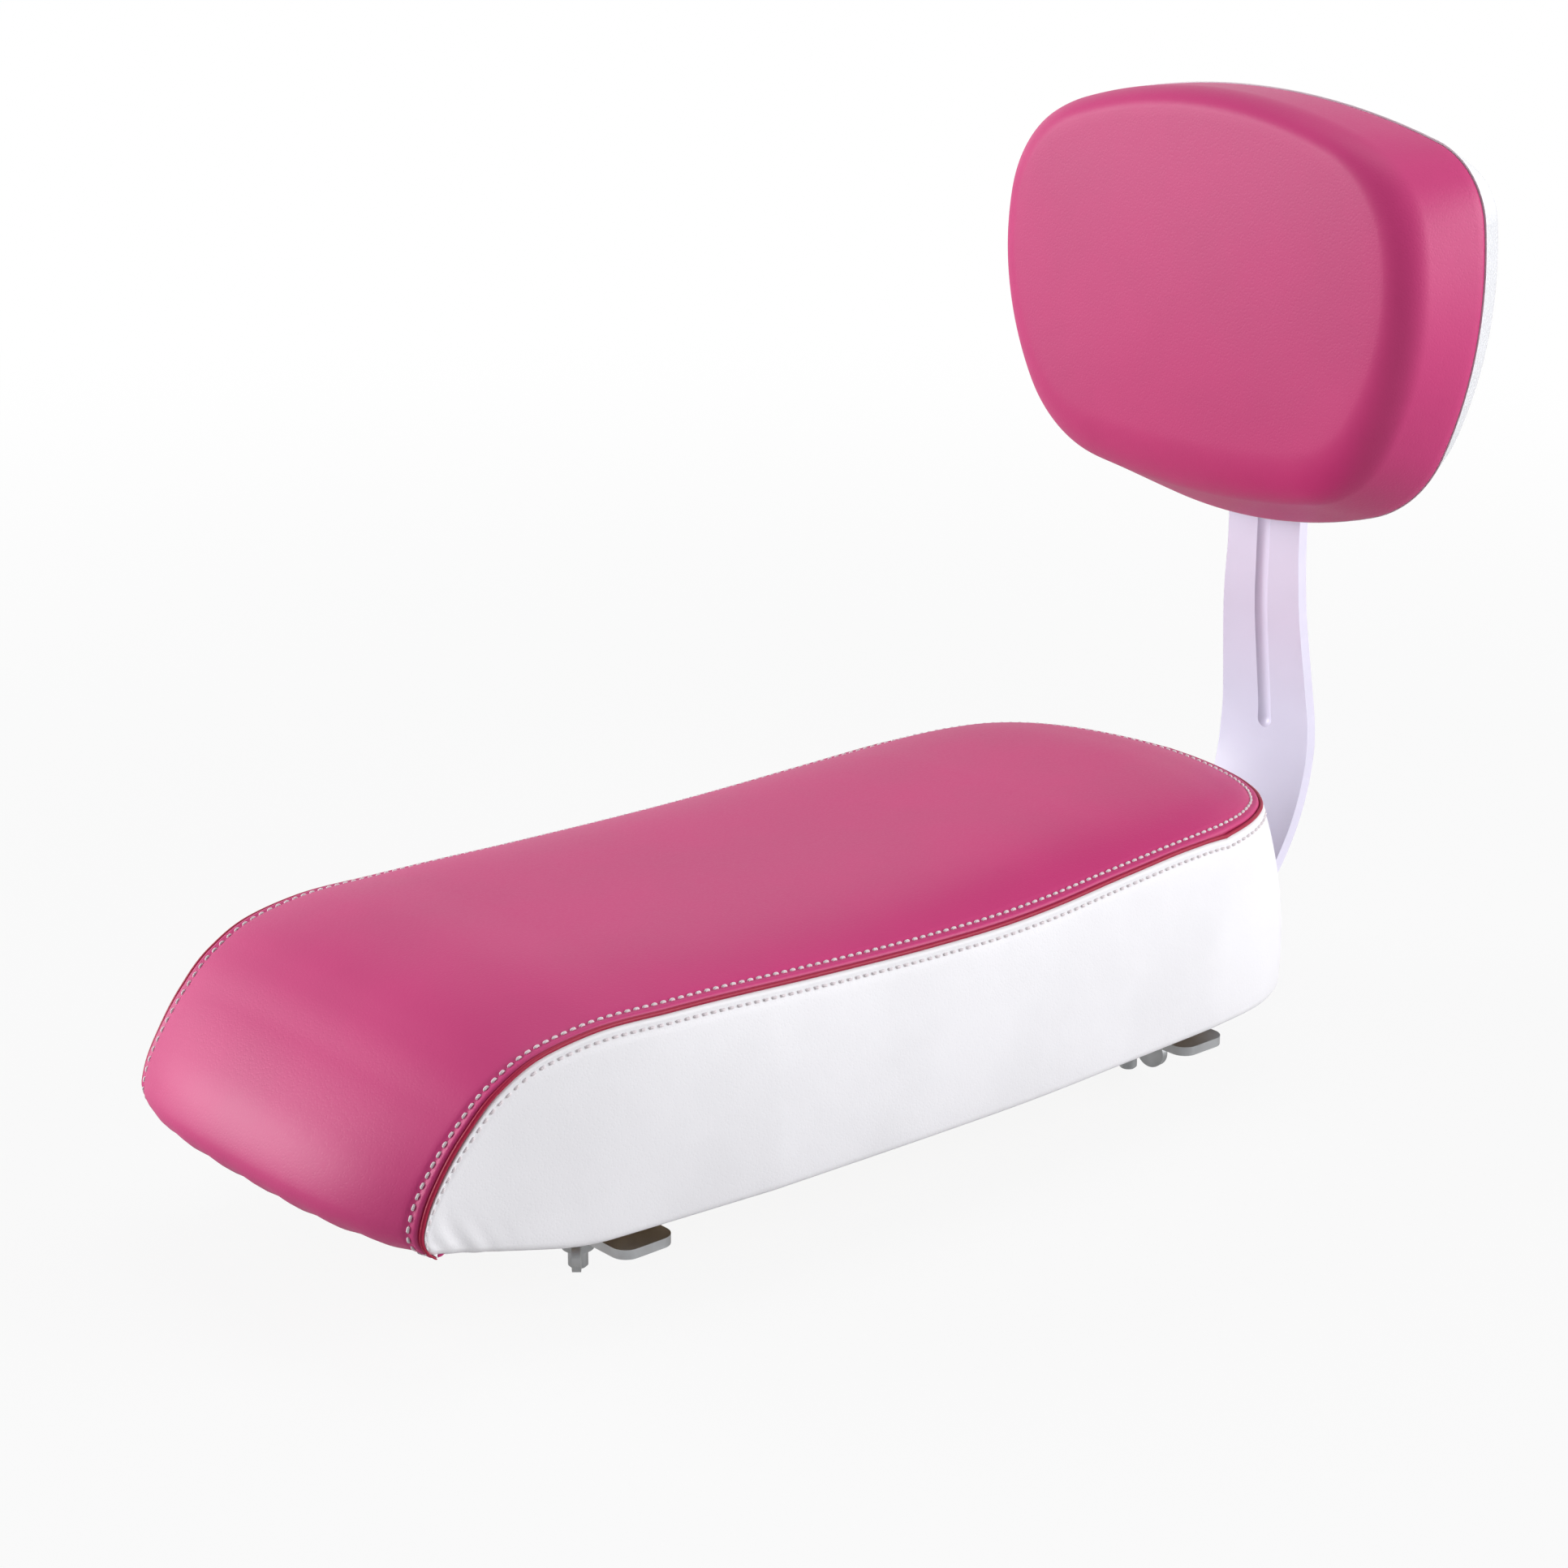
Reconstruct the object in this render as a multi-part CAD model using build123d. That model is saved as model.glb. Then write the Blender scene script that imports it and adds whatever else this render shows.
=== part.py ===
from build123d import *
import math
import os

os.makedirs("parts", exist_ok=True)

# Frame: +X is the rider's left, +Y the rear, +Z up, with the origin under the middle of the seat
# Seat cushion, in mm like every size here
seat_length = 366.0
seat_width = 152.0
seam_height = 62.0
crown_height = 8.0
crown_squareness = 5.0
wall_flare = 6.3
rear_flare = 1.3
nose_slope = 0.32
nose_run = 54.0
nose_bend_radius = 60.0
cover_thickness = 1.2
hem_width = 20.0
front_hem_lap = 14.0
wall_margin = 10.0
base_thickness = 8.0
base_edge_gap = 0.4

# Backrest
backrest_width = 189.0
backrest_height = 142.4
backrest_centre_z = 213.4
backrest_pad_depth = 30.0
backrest_top_corner_radius = 28.0
backrest_bottom_corner_radius = 44.0
backrest_corner_width = 0.438
backrest_corner_level = 0.39
backrest_taper = 0.103
backrest_board_thickness = 12.0
backrest_hem_width = 12.0
pad_draft = 12.0
pad_edge_radius = 15.0
pad_bolt_below = 12.0
pad_bolt_above = 28.0
shell_depth = 24.0
shell_draft = 12.0
shell_edge_radius = 18.0
shell_wall = 2.4
shell_lap = 0.8
shell_gap = 1.2
boss_radius = 5.5

# Steel bar
bar_thickness = 4.0
bar_top_width = 32.0
bar_foot_width = 40.0
bar_waist_z = 127.0
bar_hip_z = 60.0
bar_shoulder_radius = 60.0
bar_toe_radius = 8.0
bar_behind_seat = 44.0
bar_lean_z = 108.0
bar_knee_behind = 8.5
bar_knee_z = 39.2
bar_heel_ahead = 27.6
bar_lean_radius = 150.0
bar_knee_radius = 75.0
bar_heel_radius = 20.0
bar_leg_length = 119.0
bar_top_above_centre = 45.0
bead_radius = 3.5
bead_depth = 1.5
bead_bottom_z = 66.0
bar_slot_clearance = 1.0
bar_notch_lap = 10.0
bar_notch_lift = 0.3
bar_bolt_from_toe = 18.0
bar_bolt_ahead = 26.0
bar_bolt_behind = 30.0

# Clamps
rail_diameter = 10.0
clamp_bolt_half_spacing = 32.0
strip_length = 132.0
strip_width = 20.0
strip_thickness = 3.0
strip_corner_radius = 5.0
strip_slot_length = 14.0
clamp_bolt_below_nut = 6.0
carriage_head_radius = 7.5
carriage_head_height = 3.2
neck_depth = 5.0
neck_gap = 0.15
bolt_tip_chamfer = 0.6
wing_hub_radius = 6.0
wing_hub_height = 9.0
wing_hub_taper = 1.2
wing_ear_radius = 5.2
wing_ear_reach = 3.6
wing_ear_rise = 2.2
wing_web_start = 2.4
wing_web_end = 0.6
wing_thickness = 2.6
wing_turns = [25.0, -40.0, 62.0, 8.0]

# Fasteners
bolt_radius = 3.0
bolt_clearance = 0.3
bolt_head_radius = 5.6
bolt_head_height = 3.4
washer_radius = 8.0
washer_thickness = 1.2
nut_flange_radius = 9.0
nut_flange_thickness = 1.4
nut_barrel_radius = 4.0
nut_barrel_gap = 1.0
pocket_gap = 0.4
screw_radius = 1.8
screw_clearance = 0.3
screw_head_radius = 3.8
screw_head_height = 2.4
screw_recess = 3.2
screw_bite = 5.5

# Levels that follow from the sizes
half_length = seat_length / 2
half_width = seat_width / 2
board_bottom = cover_thickness
board_top = board_bottom + base_thickness
bar_leg_z = board_bottom - bar_thickness / 2
bar_leg_bottom = board_bottom - bar_thickness
hem_front_y = -half_length + nose_run + front_hem_lap
bar_y = half_length + bar_behind_seat
bar_front_y = bar_y - bar_thickness / 2
bar_back_y = bar_y + bar_thickness / 2
bar_toe_y = half_length - bar_leg_length
bar_top_z = backrest_centre_z + bar_top_above_centre
board_back_y = bar_front_y
rim_y = board_back_y - backrest_board_thickness
pad_slope = pad_draft / backrest_pad_depth
pad_bevel = 0.4 * (pad_edge_radius - cover_thickness)
shell_slope = shell_draft / shell_depth
shell_bevel = 0.4 * (shell_edge_radius - shell_wall)
skirt_length = backrest_board_thickness + cover_thickness
skirt_offset = shell_lap - shell_wall - shell_gap - shell_slope * skirt_length
bead_top_z = backrest_centre_z - 0.27 * backrest_height
screw_seat_y = rim_y + shell_depth - screw_recess
screw_tip_y = board_back_y - screw_bite
strip_top = -rail_diameter
strip_bottom = strip_top - strip_thickness
wing_top = strip_bottom - washer_thickness

# Fastener places
clamp_front_y = -0.55 * half_length
clamp_rear_y = 0.72 * half_length
clamp_points = []
for clamp_y in (clamp_front_y, clamp_rear_y):
    for side in (-1, 1):
        clamp_points.append((side * clamp_bolt_half_spacing, clamp_y))
bar_bolt_ys = [bar_toe_y + bar_bolt_from_toe, clamp_rear_y - bar_bolt_ahead, clamp_rear_y + bar_bolt_behind]
pad_bolt_zs = [backrest_centre_z - pad_bolt_below, backrest_centre_z + pad_bolt_above]
shell_screw_points = []
for side in (-1, 1):
    for level in (-1, 1):
        screw_x = side * 0.27 * backrest_width
        screw_z = backrest_centre_z + level * 0.22 * backrest_height
        shell_screw_points.append((screw_x, screw_z))

# Seam line as seen from the side, front to rear, in half lengths and seam heights
SEAM_PROFILE = [
    (-1.000, 0.194), (-0.994, 0.303), (-0.982, 0.411), (-0.958, 0.532), (-0.912, 0.706), (-0.852, 0.861),
    (-0.781, 0.958), (-0.688, 1.000), (-0.530, 0.994), (-0.230, 0.970), (0.126, 0.958), (0.508, 0.978),
]

# Rear end of the seam line: share of the way to the rear edge, and share of the crown left there
REAR_FADE = [(0.80, 0.89), (0.90, 0.65), (0.96, 0.33), (1.00, 0.00), (1.05, -0.60)]
REAR_SEAM_RISE = 0.028

# Left edge of the seat in plan, front to rear, in half widths and half lengths
SIDE_OUTLINE = [
    (0.913, -1.200), (0.925, -0.995), (0.957, -0.656), (0.982, -0.273), (0.997, 0.000), (1.000, 0.180),
    (0.993, 0.290), (0.978, 0.410), (0.962, 0.550), (0.938, 0.700), (0.889, 0.803), (0.816, 0.869),
    (0.697, 0.921), (0.553, 0.955), (0.368, 0.980), (0.184, 0.994), (0.000, 1.000),
]


def offset_points(points, distances):
    """Move each point of a plan curve along its left-hand normal."""
    last = len(points) - 1
    moved = []
    for i in range(last + 1):
        before = points[max(i - 1, 0)]
        after = points[min(i + 1, last)]
        along_u = after[0] - before[0]
        along_v = after[1] - before[1]
        length = math.hypot(along_u, along_v)
        u = points[i][0] - along_v / length * distances[i]
        v = points[i][1] + along_u / length * distances[i]
        moved.append((u, v))
    return moved


def spacing(points):
    """How far along a run each of its points lies, from 0 to 1."""
    lengths = [0.0]
    for before, after in zip(points, points[1:]):
        lengths.append(lengths[-1] + math.dist(before, after))
    return [length / lengths[-1] for length in lengths]


def smooth_chain(points, joints, pattern):
    """Splines through the points, divided at the joints, that meet there without a corner.

    The pattern's points set the spacing, so that every section of a loft has its knots at the same places.
    """
    last = len(points) - 1
    ends = [0] + joints + [last]
    headings = []
    for i in ends:
        headings.append(Vector(points[min(i + 1, last)]) - Vector(points[max(i - 1, 0)]))
    edges = []
    for k in range(len(ends) - 1):
        first = ends[k]
        after = ends[k + 1] + 1
        run = points[first:after]
        shares = spacing(pattern[first:after])
        edges.append(Edge.make_spline(run, tangents=[headings[k], headings[k + 1]], parameters=shares))
    return edges


def seat_wall_offset(z):
    widest = 0.22 * seam_height
    return wall_flare * (1 - ((z - widest) / (seam_height - widest)) ** 2)


def flare_share(y):
    """The wall stands upright beside the nose, flares along the sides and flares most at the rear."""
    along = min(max((y + 0.95) / 0.6, 0.0), 1.0)
    behind = min(max((y - 0.7) / 0.25, 0.0), 1.0)
    return along * (1 + (rear_flare - 1) * behind)


def seat_outline(flare, inset):
    left = []
    moves = []
    for x, y in SIDE_OUTLINE:
        left.append((x * half_width, y * half_length))
        moves.append(inset - flare * flare_share(y))
    right = []
    for x, y in reversed(left[:-1]):
        right.append((-x, y))
    return offset_points(left + right, moves + moves[-2::-1])


def seat_plan_face(z, flare, inset):
    points = [(x, y, z) for x, y in seat_outline(flare, inset)]
    rear = len(SIDE_OUTLINE) - 1
    joints = [4, 9, 12, rear, 2 * rear - 12, 2 * rear - 9, 2 * rear - 4]
    edges = smooth_chain(points, joints, seat_outline(0, 0))
    edges.append(Line(points[-1], points[0]))
    return Face(Wire(edges))


def seat_wall_body(inset):
    top = seam_height + crown_height + wall_margin
    sections = []
    for step in range(6):
        z = top * step / 5
        sections.append(seat_plan_face(z, seat_wall_offset(z), inset))
    return loft(sections)


def rear_reach(share):
    """How far back the seat's edge lies at a share of the half width."""
    share = min(share, 0.93)
    reach = 0.0
    for (x0, y0), (x1, y1) in zip(SIDE_OUTLINE, SIDE_OUTLINE[1:]):
        if y0 > 0.3 and x1 <= share <= x0:
            reach = y0 + (y1 - y0) * (x0 - share) / (x0 - x1)
    return reach * half_length


def crown_line(x, inset):
    """The seat's top in side view at one distance from the middle: the seam line raised by the crown."""
    share = abs(x) / half_width
    crown = crown_height * (1 - share ** crown_squareness)
    base = []
    distances = []
    for y, z in SEAM_PROFILE:
        climb = min(max((z - 0.3) / 0.6, 0.0), 1.0)
        base.append((y * half_length, z * seam_height))
        distances.append(crown * (0.15 + 0.85 * climb) - inset)
    last_y, last_z = SEAM_PROFILE[-1]
    reach = rear_reach(share)
    for part, fade in REAR_FADE:
        y = part * reach
        z = last_z + (1 + REAR_SEAM_RISE - last_z) * (y / half_length - last_y) / (1 - last_y)
        base.append((y, z * seam_height))
        distances.append(crown * fade - inset)
    return offset_points(base, distances)


def crown_section(x, inset):
    points = [(x, y, z) for y, z in crown_line(x, inset)]
    tail = (x, seat_length, points[-1][2] - 0.4 * (seat_length - points[-1][1]))
    front_low = (x, points[0][1], -seat_length)
    rear_low = (x, seat_length, -seat_length)
    edges = smooth_chain(points, [4, 7, 9, 11, 13], crown_line(0, 0))
    edges += [
        Line(points[-1], tail),
        Line(tail, rear_low),
        Line(rear_low, front_low),
        Line(front_low, points[0]),
    ]
    return Face(Wire(edges))


def seat_crown_body(inset):
    sections = []
    for share in (-1.2, -1.0, -0.8, -0.5, 0.0, 0.5, 0.8, 1.0, 1.2):
        sections.append(crown_section(share * half_width, inset))
    return loft(sections)


def above_underside(lift):
    """Everything above the seat's underside, which runs flat and then slopes up under the nose."""
    bend_y = -half_length + nose_run
    far = 2 * seat_length
    slope_angle = math.atan(nose_slope)
    bend_shift = lift * math.tan(slope_angle / 2)
    rise = lift / math.cos(slope_angle)
    front = -seat_length
    points = [
        (front, (bend_y - front) * nose_slope + rise),
        (bend_y - bend_shift, lift),
        (far, lift),
        (far, far),
        (front, far),
    ]
    sketch = make_face(Polyline(*points, close=True))
    bend = sketch.vertices().sort_by_distance((bend_y - bend_shift, lift, 0))[0]
    sketch = fillet(bend, nose_bend_radius)
    side = Plane(origin=(-seat_width, 0, 0), x_dir=(0, 1, 0), z_dir=(1, 0, 0))
    return extrude(side * sketch, 2 * seat_width)


def block(x0, x1, y0, y1, z0, z1):
    centre = Pos((x0 + x1) / 2, (y0 + y1) / 2, (z0 + z1) / 2)
    return centre * Box(x1 - x0, y1 - y0, z1 - z0)


def upright_cylinder(x, y, z0, z1, radius):
    return Pos(x, y, (z0 + z1) / 2) * Cylinder(radius, z1 - z0)


def rearward_cylinder(x, z, y0, y1, radius):
    return Pos(x, (y0 + y1) / 2, z) * Rot(90, 0, 0) * Cylinder(radius, y1 - y0)


def button_head(radius, height):
    """A head with a sloped rim, standing on z = 0."""
    head = upright_cylinder(0, 0, 0, height, radius)
    return chamfer(head.edges().sort_by(Axis.Z)[-1], 0.5 * height)


def hem_opening():
    """The part of the seat's underside that the turned-in hems leave bare."""
    face = seat_plan_face(-1.0, seat_wall_offset(0), hem_width)
    bare = extrude(face, board_bottom + 2.0, dir=(0, 0, 1))
    return bare & block(-seat_width, seat_width, hem_front_y, seat_length, -5.0, 5.0)


def make_front_hem(envelope, crown_inner, cavity):
    """The nose panel's hem, turned in under the sloping front of the base."""
    reach = 0.86 * half_width
    zone = block(-reach, reach, -seat_length, hem_front_y, -1.0, seam_height)
    return (envelope & crown_inner & zone) - cavity


def make_seat_top_cover(envelope, crown_inner, front_hem):
    return envelope - crown_inner + front_hem


def make_seat_side_band(envelope, crown_inner, wall_inner, underside, front_hem):
    reach = bar_foot_width / 2 + bar_slot_clearance
    notch_front = half_length - hem_width - bar_notch_lap
    notch = block(-reach, reach, notch_front, seat_length, -1.0, board_bottom + bar_notch_lift)
    band = (envelope & crown_inner) - (wall_inner & underside)
    return band - [hem_opening(), front_hem, notch]


def make_seat_base(underside):
    inset = cover_thickness + base_edge_gap
    board = seat_wall_body(inset) & seat_crown_body(inset) & underside
    board -= above_underside(board_top)
    neck = bolt_radius + neck_gap
    holes = []
    for x, y in clamp_points:
        holes.append(block(x - neck, x + neck, y - neck, y + neck, board_top - neck_depth, board_top + 1))
        holes.append(upright_cylinder(x, y, 0, board_top, bolt_radius + bolt_clearance))
    for y in bar_bolt_ys:
        holes.append(upright_cylinder(0, y, 0, board_top + 1, nut_barrel_radius))
    return board - holes


def make_seat_foam(wall_inner, crown_inner):
    foam = wall_inner & crown_inner & above_underside(board_top)
    pockets = []
    for x, y in clamp_points:
        top = board_top + carriage_head_height + pocket_gap
        pockets.append(upright_cylinder(x, y, 0, top, carriage_head_radius + pocket_gap))
    for y in bar_bolt_ys:
        top = board_top + nut_flange_thickness + pocket_gap
        pockets.append(upright_cylinder(0, y, 0, top, nut_flange_radius + pocket_gap))
    return foam - pockets


def tee_nut(barrel_length):
    """A tee nut with its flange standing on z = 0 and its barrel hanging below."""
    flange = upright_cylinder(0, 0, 0, nut_flange_thickness, nut_flange_radius)
    barrel = upright_cylinder(0, 0, -barrel_length, 0, nut_barrel_radius)
    thread = upright_cylinder(0, 0, -barrel_length - 1, nut_flange_thickness + 1, bolt_radius)
    return flange + barrel - thread


def make_base_tee_nuts():
    nut = tee_nut(base_thickness - nut_barrel_gap)
    return [Pos(0, y, board_top) * nut for y in bar_bolt_ys]


def washer():
    disc = upright_cylinder(0, 0, 0, washer_thickness, washer_radius)
    return disc - upright_cylinder(0, 0, -1, washer_thickness + 1, bolt_radius + bolt_clearance)


def make_bar_washers():
    return [Pos(0, y, bar_leg_bottom - washer_thickness) * washer() for y in bar_bolt_ys]


def make_bar_bolts():
    seat_z = bar_leg_bottom - washer_thickness
    head_top = Pos(0, 0, seat_z - bolt_head_height)
    head = head_top * extrude(RegularPolygon(bolt_head_radius, 6), bolt_head_height)
    shank = upright_cylinder(0, 0, seat_z, board_top + nut_flange_thickness, bolt_radius)
    bolt = head + shank
    return [Pos(0, y, 0) * bolt for y in bar_bolt_ys]


def beside(points, distance):
    """A line of straight runs, moved aside to its left."""
    normals = []
    for (y0, z0), (y1, z1) in zip(points, points[1:]):
        length = math.hypot(y1 - y0, z1 - z0)
        normals.append(((z0 - z1) / length, (y1 - y0) / length))
    moved = []
    for i, (y, z) in enumerate(points):
        ny, nz = normals[max(i - 1, 0)]
        my, mz = normals[min(i, len(normals) - 1)]
        share = distance / (1 + ny * my + nz * mz)
        moved.append((y + (ny + my) * share, z + (nz + mz) * share))
    return moved


def bar_line(aside):
    """The bar in side view, moved aside to the rear: upright, leaning back, round the knee to the leg."""
    points = [
        (bar_y, bar_top_z),
        (bar_y, bar_lean_z),
        (bar_y + bar_knee_behind, bar_knee_z),
        (bar_y - bar_heel_ahead, bar_leg_z),
        (bar_toe_y, bar_leg_z),
    ]
    radii = [bar_lean_radius - aside, bar_knee_radius + aside, bar_heel_radius + aside]
    return FilletPolyline(*beside(points, aside), radius=radii)


def bar_band(aside_front, aside_back):
    """The bar's side view between two lines beside its centre line, as a solid wider than the bar."""
    front = bar_line(aside_front)
    back = bar_line(aside_back)
    outline = [front, Line(front @ 0, back @ 0), back, Line(front @ 1, back @ 1)]
    side = Plane(origin=(-bar_foot_width, 0, 0), x_dir=(0, 1, 0), z_dir=(1, 0, 0))
    return extrude(side * make_face(outline), 2 * bar_foot_width)


def bar_front_outline():
    """The bar's shape seen from behind, as a solid that runs through it."""
    top = bar_top_width / 2
    foot = bar_foot_width / 2
    low = bar_leg_bottom - bar_foot_width
    right_side = [(foot, low), (foot, bar_hip_z), (top, bar_waist_z), (top, bar_top_z)]
    left_side = [(-x, z) for x, z in reversed(right_side)]
    sketch = make_face(Polyline(*right_side, *left_side, close=True))
    corners = sketch.vertices().sort_by(Axis.Y)[-2:]
    sketch = fillet(corners, 0.4 * top)
    shoulders = sketch.vertices().filter_by(lambda v: bar_hip_z - 1 < v.Y < bar_waist_z + 1)
    sketch = fillet(shoulders, bar_shoulder_radius)
    return Pos(0, -bar_foot_width, 0) * Rot(90, 0, 0) * extrude(sketch, -2 * seat_length)


def bead_body(radius):
    """A round bead along the upright's front, with ball ends."""
    aside = -(bar_thickness / 2 + bead_radius - bead_depth)
    lean = bar_knee_behind / (bar_lean_z - bar_knee_z)
    bottom_y = bar_y + (bar_lean_z - bead_bottom_z) * lean
    points = beside([(bar_y, bead_top_z), (bar_y, bar_lean_z), (bottom_y, bead_bottom_z)], aside)
    side = Plane(origin=(0, 0, 0), x_dir=(0, 1, 0), z_dir=(1, 0, 0))
    path = side * FilletPolyline(*points, radius=bar_lean_radius - aside)
    body = sweep(Plane(origin=path @ 0, z_dir=path % 0) * Circle(radius), path=path)
    for end in (0, 1):
        body += Pos(path @ end) * Sphere(radius)
    return body


def make_backrest_bar():
    front = -bar_thickness / 2
    back = bar_thickness / 2
    bar = bar_band(front, back) & bar_front_outline()
    toe = bar.edges().filter_by(Axis.Z).sort_by(Axis.Y)[:2]
    bar = fillet(toe, bar_toe_radius)
    bar += bead_body(bead_radius + bar_thickness) & bar_band(front, back + 2 * bead_depth)
    bar -= bead_body(bead_radius)
    for y in bar_bolt_ys:
        bar -= upright_cylinder(0, y, -20, 20, bolt_radius + bolt_clearance)
    for z in pad_bolt_zs:
        bar -= rearward_cylinder(0, z, bar_y - 20, bar_y + 20, bolt_radius + bolt_clearance)
    return bar


def make_clamp_strip(y):
    strip = extrude(RectangleRounded(strip_length, strip_width, strip_corner_radius), strip_thickness)
    slot = extrude(SlotOverall(strip_slot_length, 2 * (bolt_radius + bolt_clearance)), strip_thickness)
    for side in (-1, 1):
        strip -= Pos(side * clamp_bolt_half_spacing, 0, 0) * slot
    return Pos(0, y, strip_bottom) * strip


def make_clamp_bolts():
    tip = wing_top - wing_hub_height - clamp_bolt_below_nut
    neck_bottom = board_top - neck_depth + neck_gap
    neck = block(-bolt_radius, bolt_radius, -bolt_radius, bolt_radius, neck_bottom, board_top)
    shank = upright_cylinder(0, 0, tip, board_top, bolt_radius)
    shank = chamfer(shank.edges().sort_by(Axis.Z)[0], bolt_tip_chamfer)
    head = Pos(0, 0, board_top) * button_head(carriage_head_radius, carriage_head_height)
    bolt = head + neck + shank
    return [Pos(x, y, 0) * bolt for x, y in clamp_points]


def make_clamp_washers():
    return [Pos(x, y, wing_top) * washer() for x, y in clamp_points]


def make_clamp_wing_nuts():
    hub = Cone(wing_hub_radius, wing_hub_radius - wing_hub_taper, wing_hub_height)
    nut = Pos(0, 0, -wing_hub_height / 2) * Rot(180, 0, 0) * hub
    reach = wing_hub_radius + wing_ear_reach
    half = wing_thickness / 2
    nut += block(-reach, reach, -half, half, -wing_hub_height + wing_web_end, -wing_web_start)
    for side in (-1, 1):
        ear = Rot(90, 0, 0) * Cylinder(wing_ear_radius, wing_thickness)
        nut += Pos(side * reach, 0, -wing_hub_height + wing_ear_rise) * ear
    nut -= upright_cylinder(0, 0, -2 * wing_hub_height, 1, bolt_radius)
    turned = []
    for i, (x, y) in enumerate(clamp_points):
        spot = Pos(x, y, wing_top)
        turned.append(spot * Rot(0, 0, wing_turns[i]) * nut)
    return turned


def disc_through(start, middle, end, offset_by):
    """The disc whose edge runs through three points, grown by an offset."""
    arc = ThreePointArc(start, middle, end)
    centre = arc.arc_center
    return Pos(centre.X, centre.Y, 0) * Circle(arc.radius + offset_by)


def backrest_outline(offset_by):
    """The backrest seen from the front: four bowed sides, wider at the top, with rounded corners."""
    side = backrest_width / 2
    top = backrest_height / 2
    level = backrest_corner_level * backrest_height
    wide = backrest_corner_width * backrest_width * (1 + backrest_taper)
    narrow = backrest_corner_width * backrest_width * (1 - backrest_taper)
    sketch = disc_through((-wide, level), (0, top), (wide, level), offset_by)
    sketch &= disc_through((narrow, -level), (0, -top), (-narrow, -level), offset_by)
    sketch &= disc_through((wide, level), (side, 0), (narrow, -level), offset_by)
    sketch &= disc_through((-narrow, -level), (-side, 0), (-wide, level), offset_by)
    bottom_corners = sketch.vertices().sort_by(Axis.Y)[:2]
    sketch = fillet(bottom_corners, backrest_bottom_corner_radius + offset_by)
    top_corners = sketch.vertices().sort_by(Axis.Y)[-2:]
    return fillet(top_corners, backrest_top_corner_radius + offset_by)


def backrest_prism(y0, y1, offset_by):
    front = Plane(origin=(0, y0, backrest_centre_z), x_dir=(1, 0, 0), z_dir=(0, -1, 0))
    return extrude(front * backrest_outline(offset_by), y1 - y0, dir=(0, 1, 0))


def backrest_block(depth, offset_by, slope):
    """A block from the rim to a smaller end: forwards for a negative depth, else rearwards."""
    way = 1 if depth > 0 else -1
    rim = Plane(origin=(0, rim_y, backrest_centre_z), x_dir=(-way, 0, 0), z_dir=(0, way, 0))
    body = extrude(rim * backrest_outline(offset_by), abs(depth), taper=math.degrees(math.atan(slope)))
    return body, body.faces().sort_by(Axis.Y)[-1 if depth > 0 else 0]


def rounded_backrest(depth, offset_by, slope, edge_radius):
    body, end = backrest_block(depth, offset_by, slope)
    return fillet(end.edges(), edge_radius)


def bevelled_backrest(depth, offset_by, slope, bevel):
    """A block that lies inside a rounded one, with a plain bevel round its end."""
    body, end = backrest_block(depth, offset_by, slope)
    return chamfer(end.edges(), bevel)


def make_backrest_cover(pad_outer, pad_inner):
    turn_y = rim_y - cover_thickness
    hem_y = board_back_y
    turn = backrest_prism(turn_y, rim_y, -cover_thickness / 2)
    turn -= backrest_prism(turn_y, rim_y, skirt_offset - cover_thickness)
    reach = bar_top_width / 2 + bar_slot_clearance
    low = backrest_centre_z - backrest_height
    skirt = backrest_prism(rim_y, hem_y + cover_thickness, skirt_offset)
    skirt -= [
        backrest_prism(rim_y, hem_y, skirt_offset - cover_thickness),
        backrest_prism(hem_y, hem_y + cover_thickness, skirt_offset - backrest_hem_width),
        block(-reach, reach, hem_y - 0.3, hem_y + 5, low, backrest_centre_z),
    ]
    return pad_outer - pad_inner + [turn, skirt]


def make_backrest_foam(pad_inner):
    turn_y = rim_y - cover_thickness
    foam = pad_inner - block(-backrest_width, backrest_width, turn_y, bar_y, 0, 2 * backrest_centre_z)
    foam += backrest_prism(turn_y, rim_y, skirt_offset - cover_thickness)
    pocket_y = rim_y - nut_flange_thickness - pocket_gap
    pockets = []
    for z in pad_bolt_zs:
        pockets.append(rearward_cylinder(0, z, pocket_y, rim_y + 1, nut_flange_radius + pocket_gap))
    return foam - pockets


def make_backrest_board():
    board = backrest_prism(rim_y, board_back_y, skirt_offset - cover_thickness - pocket_gap / 2)
    holes = []
    for z in pad_bolt_zs:
        holes.append(rearward_cylinder(0, z, rim_y - 1, bar_y, nut_barrel_radius))
    for x, z in shell_screw_points:
        holes.append(rearward_cylinder(x, z, screw_tip_y, bar_y, screw_radius))
    return board - holes


def make_backrest_tee_nuts():
    nut = Rot(90, 0, 0) * tee_nut(backrest_board_thickness - nut_barrel_gap)
    return [Pos(0, rim_y, z) * nut for z in pad_bolt_zs]


def make_backrest_washers():
    ring = Rot(-90, 0, 0) * washer()
    return [Pos(0, bar_back_y, z) * ring for z in pad_bolt_zs]


def make_backrest_bolts():
    head_y = bar_back_y + washer_thickness
    head = Pos(0, head_y, 0) * Rot(-90, 0, 0) * button_head(bolt_head_radius, bolt_head_height)
    shank = rearward_cylinder(0, 0, rim_y - nut_flange_thickness, head_y, bolt_radius)
    bolt = head + shank
    return [Pos(0, 0, z) * bolt for z in pad_bolt_zs]


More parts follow.
